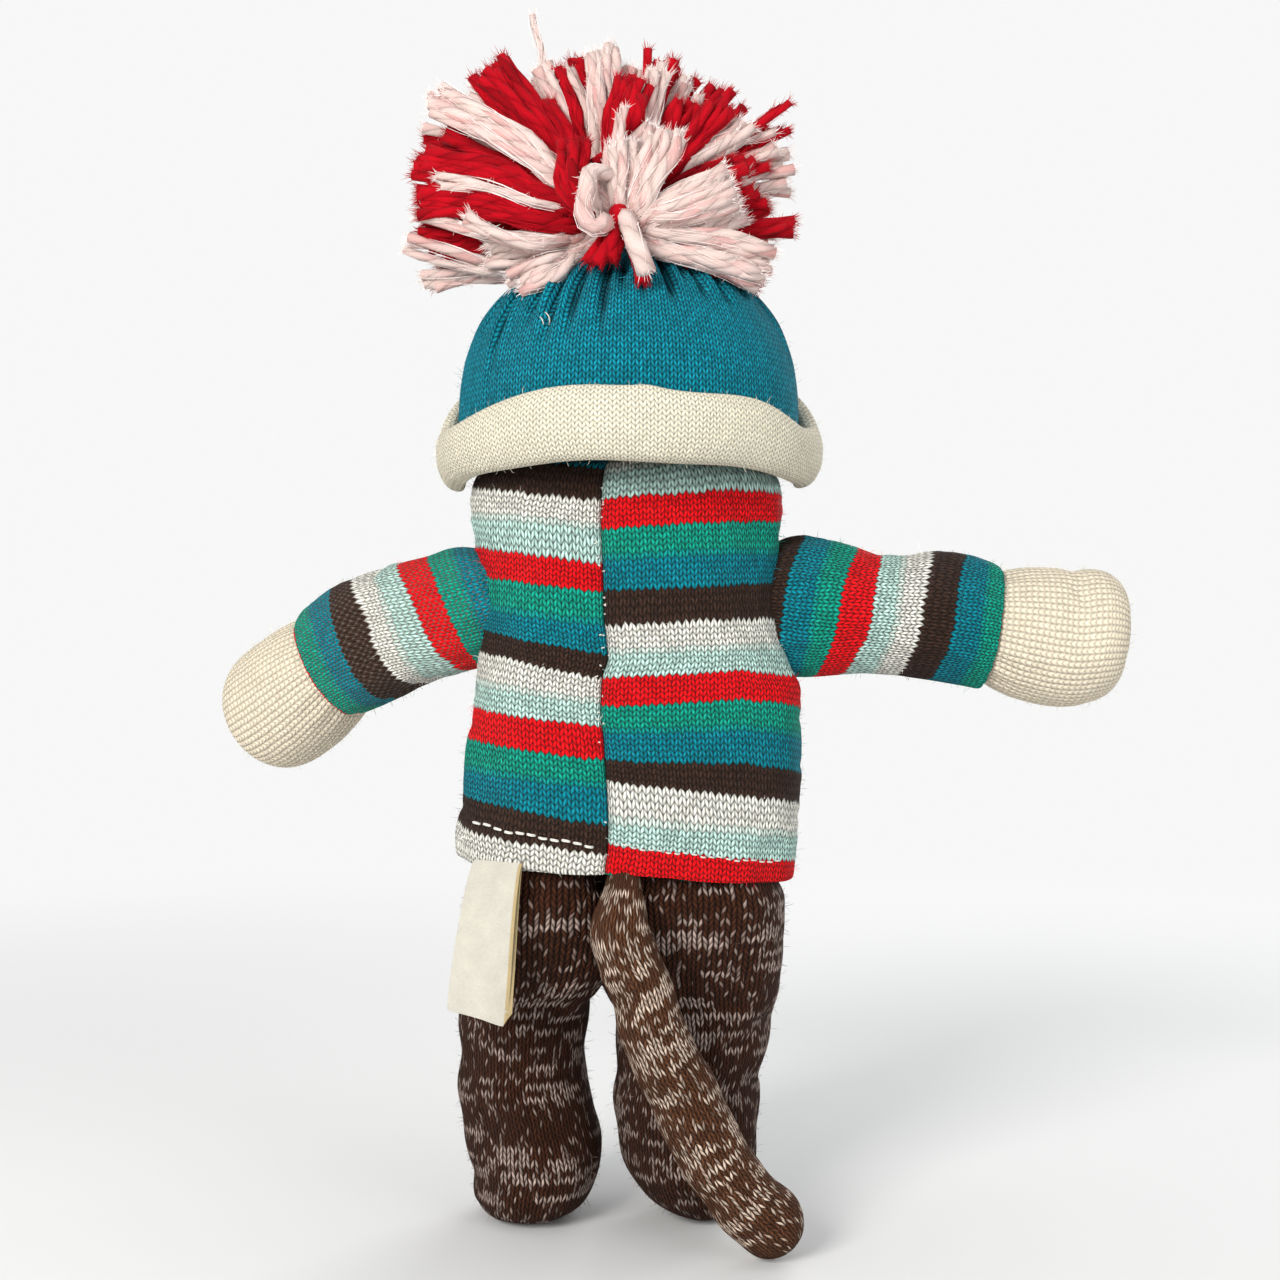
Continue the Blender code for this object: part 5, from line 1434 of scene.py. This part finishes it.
loneYarns = [  # colour, thickness, and the places that the yarn passes
    ("white", 4.2, ((3, 26, 255.5), (6.5, 31, 255.5), (9.5, 33, 253), (10.5, 34, 248.5), (9.5, 35, 244), (7, 35, 241.5),
                    (4.5, 34, 242.5))),
    ("white", 4.4, ((0.5, 28, 246.0), (-0.5, 34, 241.0), (-2.0, 37, 235.5), (-3.5, 37, 230.5))),
    ("white", 1.6, ((14.5, 2, 265.5), (20.5, 1, 279.5), (22, 0, 290), (23, 0, 297), (23.5, 0, 303.0))),
    ("red", 3.6, ((2.5, 26, 247.5), (3.5, 32, 240), (6.5, 34, 233))),
    ("red", 3.4, ((1.0, 24, 247.5), (2.5, 31, 239), (4.6, 33, 234))),
    ("red", 3.0, ((4.5, 24, 246.5), (6.0, 29, 240), (8.8, 31, 235))),
    ("red", 3.0, ((-0.5, 26, 242), (-3, 33, 233), (-3.5, 34, 228.4))),
    ("red", 2.4, ((9.5, 20, 259.5), (7.5, 22, 261), (4, 22, 260)))]
pomRadius = smoothLine(
    (0, 0.12), (0.05, 0.42), (0.11, 0.75), (0.23, 0.95), (0.4, 1.0), (0.62, 0.9), (0.81, 0.68), (0.93, 0.4), (1.0, 0.1))


def alongPlaces(places, steps):
    # an even, smooth route through the places, in mm
    places = np.asarray(places, float)
    along = walked(places)
    fine = np.linspace(0, along[-1], steps * 4)
    route = np.stack([smoothLine(*zip(along, line))(fine) for line in places.T], axis=1)
    length = walked(route)
    even = np.linspace(0, length[-1], steps)
    return np.stack([np.interp(even, length, line) for line in route.T], axis=1)


def pomYarns():
    luck = random.Random(21)
    yarns = {"red": [], "white": []}
    knot = np.array(pompom["knot"])
    for colour, count, thick, spread, places in bunches:
        places = np.array(places, float)
        ahead = unit(places[-1] - places[-2])
        wide = unit(np.cross(ahead, (0, 1, 0)))
        count = round(count * pompom["fuller"])
        for k in range(count):
            place = 0 if count == 1 else k / (count - 1) - 0.5
            fan = wide * place * spread + np.array([0, luck.uniform(-2.4, 1.2), 0])
            root = knot + np.array([luck.uniform(-2.2, 2.2), luck.uniform(-1, 2.2), luck.uniform(-2.2, 2.2)])
            shift = np.array([luck.uniform(-0.5, 0.5) for axis in range(3)])
            end = places[2] + fan + ahead * luck.uniform(-2.5, 1.2)
            route = [root, places[0] + fan * 0.45 + shift, places[1] + fan * 0.8 - shift, end]
            yarns[colour].append((route, thick * luck.uniform(0.74, 0.94)))
    for colour, thick, places in loneYarns:
        route = [tuple(knot + np.array([0, 2, 0]))] + list(places) if places[0][2] < 250 else list(places)
        yarns[colour].append((route, thick))
    # the rest of the ball, in bunches too
    for k in range(pompom["behind"]):
        share = 0.04 + 0.93 * ((k * 0.618034) % 1.0)
        turn = -math.pi / 2 + math.radians(luck.uniform(-100, 100))
        reach = float(pomRadius(share)) * luck.uniform(0.93, 1.03)
        end = np.array([48 * reach * math.cos(turn) + 7.5 * reach, 38 * reach * math.sin(turn), 246.5 + 46 * share])
        if turn > -0.1 or turn < -math.pi + 0.1:
            end[1] = luck.uniform(-14, 6)
        root = knot + np.array([luck.uniform(-2.5, 2.5), luck.uniform(-2.5, 1), luck.uniform(-2, 3)])
        outward = end - root
        shift = np.array([luck.uniform(-1.5, 1.5) for axis in range(3)])
        middle = root + outward * 0.5 + np.array([0, 0, 2.5 + 2.5 * (1 - share)]) + shift
        bunch = math.sin(turn * 3.1 + share * 5.3) + 0.6 * math.sin(turn * 7.7 - share * 9.1)
        colour = "red" if bunch + luck.uniform(-0.5, 0.5) > 0.1 else "white"
        route = [root, root + outward * 0.2 + np.array([0, 0, 1.5]), middle, end]
        yarns[colour].append((route, luck.uniform(2.6, 3.3)))
    return yarns


def makeYarns(name, yarns, look):
    # plied yarns with cut ends. the second result is each yarn's route, direction and thickness
    corners, steps = pompom["sides"], pompom["steps"]
    share, around = np.linspace(0, 1, steps), np.arange(corners) / corners
    strands, ends = [], []
    for number, (route, thick) in enumerate(yarns):
        route = alongPlaces(route, steps)
        loose = pompom["wobble"] * np.clip(share * 3, 0, 1)
        for axis in range(3):
            phase = number * 2.39 + axis * 2.1
            route[:, axis] += loose * (np.sin(share * 9.0 + phase) + 0.6 * np.sin(share * 17.0 + phase * 1.7))
        turned = share * walked(route)[-1] / pompom["twist"]
        size = thick / 2 * (0.62 + 0.38 * np.clip(share / 0.35, 0, 1)) * (1 + 0.10 * (share > 0.97))
        size = size * (1 + 0.09 * np.sin(share * 23 + number * 1.3))
        lobes = 1 + 0.07 * np.cos(math.tau * (around * 2 + turned[:, None] + number * 0.37))
        strands.append((route, size[:, None] * lobes, number * 3.37 + turned, (-thick * 0.12, thick * 0.12)))
        ends.append((route, unit(np.gradient(route, axis=0)), thick))
    return roundStrands(name, strands, corners, look), ends


def fuzzFibres(name, ends, look, perEnd, perYarn, seed, longest=2.6):
    # loose fibres at the cut ends and along the yarns, three-sided and pointed
    luck = np.random.default_rng(seed)
    places, faces = [], []
    for route, forward, thick in ends:
        for k in range(perEnd + perYarn):
            atEnd = k < perEnd
            i = len(route) - 1 if atEnd else luck.integers(len(route) // 3, len(route))
            outward = luck.normal(size=3)
            outward = unit(outward - forward[i] * (outward @ forward[i]))
            base = route[i] + outward * thick * (0.5 * math.sqrt(luck.random()) if atEnd else 0.46)
            if not atEnd and i + 1 < len(route):
                base = base + (route[i + 1] - route[i]) * luck.random()
            way = unit(forward[i] * (1.0 if atEnd else luck.uniform(-0.4, 0.9)) + outward * luck.uniform(0.2, 0.9))
            long = luck.uniform(0.8, longest) * (1.0 if atEnd else 0.62)
            bow = luck.normal(size=3) * long * 0.16
            side = unit(np.cross(way, outward + 0.3))
            other = np.cross(way, side)
            first = len(places)
            for share, size in ((0.0, 0.075), (0.55, 0.055)):
                centre = base + way * long * share + bow * share * share
                for corner in range(3):
                    angle = math.tau * corner / 3
                    places.append(centre + (side * math.cos(angle) + other * math.sin(angle)) * size)
            places.append(base + way * long + bow)
            for corner in range(3):
                after = (corner + 1) % 3
                faces.append((first + corner, first + after, first + 3 + after, first + 3 + corner))
                faces.append((first + 3 + corner, first + 3 + after, first + 6))
            faces.append((first + 2, first + 1, first))
    return newPiece(name, places, faces, look)


def yarnFibres(name, ends, look, perYarn, seed):
    # long loose fibres that run along each yarn and stray a little off it
    luck = np.random.default_rng(seed)
    places, faces = [], []
    for route, forward, thick in ends:
        for k in range(perYarn):
            start = luck.integers(2, len(route) - 5)
            stop = min(len(route) - 1, start + luck.integers(4, 8))
            turn, twirl = luck.random() * math.tau, luck.uniform(0.15, 0.45)
            lift = luck.uniform(0.02, 0.5)
            first, rings = len(places), stop - start + 1
            for i in range(rings):
                at = start + i
                share = i / (rings - 1)
                side = unit(np.cross(forward[at], yarnSide))
                other = np.cross(forward[at], side)
                around = turn + twirl * i
                stray = 0.7 * lift * share if stop == len(route) - 1 else 0
                outward = side * math.cos(around) + other * math.sin(around)
                centre = route[at] + outward * (thick * 0.49 + lift * math.sin(math.pi * share) + stray)
                size = 0.085 * (0.35 + 0.65 * math.sin(math.pi * min(1, share + 0.12)))
                across = np.cross(forward[at], outward)
                places.append(centre + outward * size)
                places.append(centre - outward * size * 0.5 + across * size * 0.87)
                places.append(centre - outward * size * 0.5 - across * size * 0.87)
            for i in range(rings - 1):
                low = first + i * 3
                for corner in range(3):
                    after = (corner + 1) % 3
                    faces.append((low + after, low + corner, low + 3 + corner, low + 3 + after))
            faces.append((first, first + 1, first + 2))
            faces.append((first + rings * 3 - 1, first + rings * 3 - 2, first + rings * 3 - 3))
    return newPiece(name, places, faces, look)


looks["redFuzz"] = plainLook("redFuzz", (0.40, 0.006, 0.014), 0.8, 500.0, 0.05, 0.3, **fabric)
# the white fuzz is tinted pink too, painted red light reflected off the red yarns
looks["whiteFuzz"] = plainLook("whiteFuzz", (0.84, 0.74, 0.71), 0.8, 500.0, 0.05, 0.12, **fabric)
yarns = pomYarns()
for colour in ("red", "white"):
    piece, ends = makeYarns("pompom" + colour.capitalize(), yarns[colour], looks[colour + "Yarn"])
    settle(piece, "tuft", *(("red_yarn", "pompom") if colour == "red" else ()))
    fuzz = looks[colour + "Fuzz"]
    settle(fuzzFibres("pompomFuzz" + colour.capitalize(), ends, fuzz, 22, 44, 5), "tuft")
    settle(yarnFibres("pompomFibres" + colour.capitalize(), ends, fuzz, 11, 7), "tuft")
print("pom-pom ready:", sum(len(group) for group in yarns.values()), "yarns")

# the thread wound round the pom-pom's middle, on top of the knot
winding = []
for k in range(15 * 12 + 1):
    turn = math.tau * k / 15
    out = 4.6 + 0.35 * math.sin(turn * 0.37) + 0.3 * math.sin(turn * 3.1)
    winding.append((out * math.cos(turn), out * math.sin(turn), 246.6 + 4.6 * k / 180 + 0.35 * math.sin(turn * 0.81)))
settle(yarnTube("pompomTie", [winding], 0.42, looks["thread"], 6, turns=1.4), "tie", "thread", "pompom_tie")


# topstitches along the hem, and one stray fibre on the hat

def laidOn(piece, x, z, proud):
    # a point in mm just above the back of a piece, beside its edge where the piece ends before x
    for step in (0, 0.6, -0.6, 1.2, -1.2, 2.0, -2.0):
        found, place, normal, face = piece.ray_cast(Vector((x + step, 80, z)) * mm + dollShift, Vector((0, -1, 0)))
        if found and normal.y > 0.3:
            break
    return tuple((place - dollShift) / mm + normal * proud)


def topstitches(name, panel, start, end, count, share, radius):
    routes = []
    for k in range(count):
        route = []
        for step, proud in enumerate((-0.5, 0.25, 0.4, 0.25, -0.5)):
            t = (k + share * step / 4) / count
            z = start[1] + (end[1] - start[1]) * t + 0.25 * math.sin(k * 1.7)
            route.append(laidOn(panel, start[0] + (end[0] - start[0]) * t, z, proud))
        routes.append(route)
    return yarnTube(name, routes, radius, looks["thread"], 6)


left, right = panels["sweaterBackLeft"], panels["sweaterBackRight"]
threads = [
    (topstitches("hemStitchesLeft", left, (37.5, 102.6), (7.5, 98.0), 11, 0.8, 0.34), "torso"),
    (topstitches("hemStitchesRight", right, (3.5, 98.5), (-37.0, 93.0), 20, 0.75, 0.2), "torso")]
seamLuck = random.Random(17)
seamBits = []
for k in range(34):
    z = seamLuck.uniform(99, 186)
    x = float(backSeam(z)) + seamLuck.uniform(-0.7, 0.9)
    reach, lean = seamLuck.uniform(0.5, 1.2), seamLuck.uniform(-0.6, 0.6)
    panel = left if x > float(backSeam(z)) else right
    seamBits.append([
        laidOn(panel, x + reach * t, z + lean * t, proud) for t, proud in ((-0.5, -0.3), (0, 0.3), (0.5, -0.3))])
threads.append((yarnTube("seamStitches", seamBits, 0.2, looks["thread"], 5), "torso"))
strays = [
    [laidOn(crown, x - t * aside, z - t * down, 0.1 + math.sin(t * 3) * lift) for t in shares]
    for x, aside, z, down, lift, shares in (
        (19.3, 1.2, 222.4, 3.2, 1.0, (0, 0.25, 0.5, 0.75, 1)), (20.4, 0.8, 221.2, 1.9, 0.8, (0, 0.5, 1)))]
threads.append((yarnTube("strayFibre", strays, 0.14, looks["thread"], 5), "head"))
for piece, body in threads:
    settle(piece, body, "thread")
print("topstitches ready")


# label: a woven ribbon folded in two and sewn in at the hem, with nothing on it

label = {
    "wide": 14.2, "long": 34.6, "thick": 0.18, "place": (30.6, 25.4), "top": 94.0, "turned": (-34.0, -4.0), "out": 4.4,
    "aside": 4.2,
}


def labelLook():
    look = Look("ribbon", Sheen_Weight=0.25, Sheen_Roughness=0.4, Specular_IOR_Level=0.35)
    across, down = look.spread("ribbon")
    weft = (down * 52).part() - 0.5
    warp = (across * 40).part() - 0.5
    weave = 1 - (abs(weft) + abs(warp)) * 0.9
    cloud = look.cloud(across * 3.0, down * 3.0, 1.0, 3.0)
    fine = look.speckle((across * 40).whole(), (down * 52).whole(), 1.0)
    edge = ((0.07 - across) * 40).clamped()
    gold = look.mixed(edge, (0.53, 0.50, 0.43), (0.42, 0.32, 0.16))
    colour = look.mixed(1.0, gold, (0.80 + cloud * 0.30) * (0.94 + fine * 0.10), "MULTIPLY")
    return look.finish(colour, 0.62 + cloud * 0.15, weave + edge * 0.6, 0.12 * mm, 0.7)


def makeLabel():
    # down the outer ply, round the fold at the foot, and up the inner one
    columns, rows = 16, 64
    corner = np.array([*label["place"], 0.0])
    places, faces, counts = [], [], []
    for row in range(rows + 1):
        share = row / rows
        for column in range(columns + 1):
            across = column / columns
            if share < 0.49:
                down, ply = share / 0.49, 1.0
            elif share > 0.51:
                down, ply = (1 - share) / 0.49, -1.0
            else:
                down, ply = 1.0, (0.5 - share) / 0.01
            first, last = label["turned"]
            turned = math.radians(first + (last - first) * down ** 0.8)
            wideWay = np.array([math.cos(turned), math.sin(turned), 0])
            outWay = np.array([-math.sin(turned), math.cos(turned), 0])
            curve = 0.9 * math.sin(math.pi * across) * down + 0.8 * down ** 1.6 * across
            lift = label["out"] * down ** 0.6
            ripples = 0.25 * math.sin(down * 7 + across * 2) * down
            shift = (-0.9 if ply < 0 else 0.0) * down + label["aside"] * down
            long = label["long"] + (across - 0.5) * -2.4 - (0.5 if ply < 0 else 0.0)
            gap = 0.14 + 0.34 * math.sin(math.pi * min(1, down * 1.02)) * (1.3 - across)
            foot = math.sqrt(max(0, 1 - ply * ply)) * 0.3
            place = corner + wideWay * ((across - 0.5) * label["wide"] + shift)
            place = place + outWay * (lift + curve + ripples + ply * gap)
            places.append(place + np.array([0, 0, label["top"] - down * long - foot]))
    for row in range(rows):
        for column in range(columns):
            a = row * (columns + 1) + column
            faces.append((a, a + 1, a + columns + 2, a + columns + 1))
            for u, v in ((0, 0), (1, 0), (1, 1), (0, 1)):
                counts.append(((column + u) / columns, (row + v) / rows * 6))
    piece = newPiece("labelRibbon", places, faces, labelLook(), counts, "ribbon")
    thick = piece.modifiers.new("cloth", "SOLIDIFY")
    thick.thickness, thick.offset, thick.use_even_offset = label["thick"] * mm, 0.0, True
    applyAll(piece)
    onlySelect(piece)
    bpy.ops.object.shade_smooth_by_angle(angle=math.radians(40))
    return piece


ribbon = makeLabel()
settle(ribbon, "tag", "ribbon")
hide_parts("label")
print("label ready")


# camera, light and floor

camera = bpy.data.objects.new("camera", bpy.data.cameras.new("camera"))
bpy.context.scene.collection.objects.link(camera)
camera.location = (0.00408, 0.45355, 0.14625)
camera.rotation_euler = (math.radians(90), 0, math.radians(180))
camera.data.lens = 50.625
camera.data.sensor_width = 36
camera.data.clip_start, camera.data.clip_end = 0.01, 20
bpy.context.scene.camera = camera

studio = {"floor": (0.72, 0.72, 0.715), "backdrop": (0.93, 0.935, 0.93), "air": 0.55}


def areaLamp(name, place, target, size, power, colour=(1, 1, 1)):
    lamp = bpy.data.objects.new(name, bpy.data.lights.new(name, "AREA"))
    bpy.context.scene.collection.objects.link(lamp)
    lamp.location = place
    lamp.rotation_euler = (Vector(target) - Vector(place)).to_track_quat("-Z", "Y").to_euler()
    lamp.data.shape = "SQUARE"
    lamp.data.size = size
    lamp.data.energy = power
    lamp.data.color = colour
    return lamp


middle = (0, 0, 0.15)
areaLamp("keyLamp", (0.62, 1.05, 0.62), middle, 0.5, 17.0, (1.0, 0.98, 0.95))
areaLamp("sideLamp", (-0.95, 0.9, 0.30), middle, 0.8, 7.0, (0.96, 0.98, 1.0))
areaLamp("frontLamp", (-0.5, -1.15, 0.55), middle, 0.8, 9.0)
areaLamp("topLamp", (0.0, -0.1, 1.4), middle, 0.8, 2.0)

bpy.ops.object.select_all(action="DESELECT")
bpy.ops.mesh.primitive_plane_add(size=8, location=(0, 0, -0.0004))
floor = bpy.context.object
floor.name = "floor"
# near the doll the floor shows its own shade and shadow, and further off it runs into the backdrop
floorLook = Look("paleFloor", Roughness=0.85, Specular_IOR_Level=0.1)
floorLook.give(floorLook.shader.inputs["Base Color"], studio["floor"])
place = floorLook.node("ShaderNodeTexCoord", {}, {}, 3)
far = floorLook.node("ShaderNodeVectorMath", {"operation": "LENGTH"}, {0: place}, 1)
seen = floorLook.node("ShaderNodeLightPath", {}, {}, "Is Camera Ray")
fade = floorLook.node(
    "ShaderNodeMapRange", {"interpolation_type": "SMOOTHSTEP"}, {0: far, 1: 0.22, 2: 0.75, 3: 0.0, 4: 1.0})
glow = floorLook.node("ShaderNodeEmission", {}, {"Color": studio["backdrop"], "Strength": 1.0})
bare = Reading(floorLook, floorLook.shader.outputs[0])
joined = floorLook.node("ShaderNodeMixShader", {}, {0: fade * seen, 1: bare, 2: glow})
floorLook.give(floorLook.tree.nodes["Material Output"].inputs["Surface"], joined)
floor.data.materials.append(floorLook.material)

world = bpy.data.worlds.new("studioAir")
bpy.context.scene.world = world
air = Nodes(world)
air.tree.nodes.clear()
output = air.tree.nodes.new("ShaderNodeOutputWorld")
# what the camera sees, straight or in a shiny or clear surface, is the backdrop. the rest is lit by dimmer air
straight, mirrored, through = (
    air.node("ShaderNodeLightPath", {}, {}, ray) for ray in ("Is Camera Ray", "Is Glossy Ray", "Is Transmission Ray"))
seen = air.sum("MAXIMUM", straight, air.sum("MAXIMUM", mirrored, through))
dim = air.node("ShaderNodeBackground", {}, {"Color": (0.96, 0.98, 1.0), "Strength": studio["air"]})
bright = air.node("ShaderNodeBackground", {}, {"Color": studio["backdrop"], "Strength": 1.0})
air.give(output.inputs["Surface"], air.node("ShaderNodeMixShader", {}, {0: seen, 1: dim, 2: bright}))
bpy.context.scene.view_settings.view_transform = "Standard"
print("camera, lamps and floor ready")
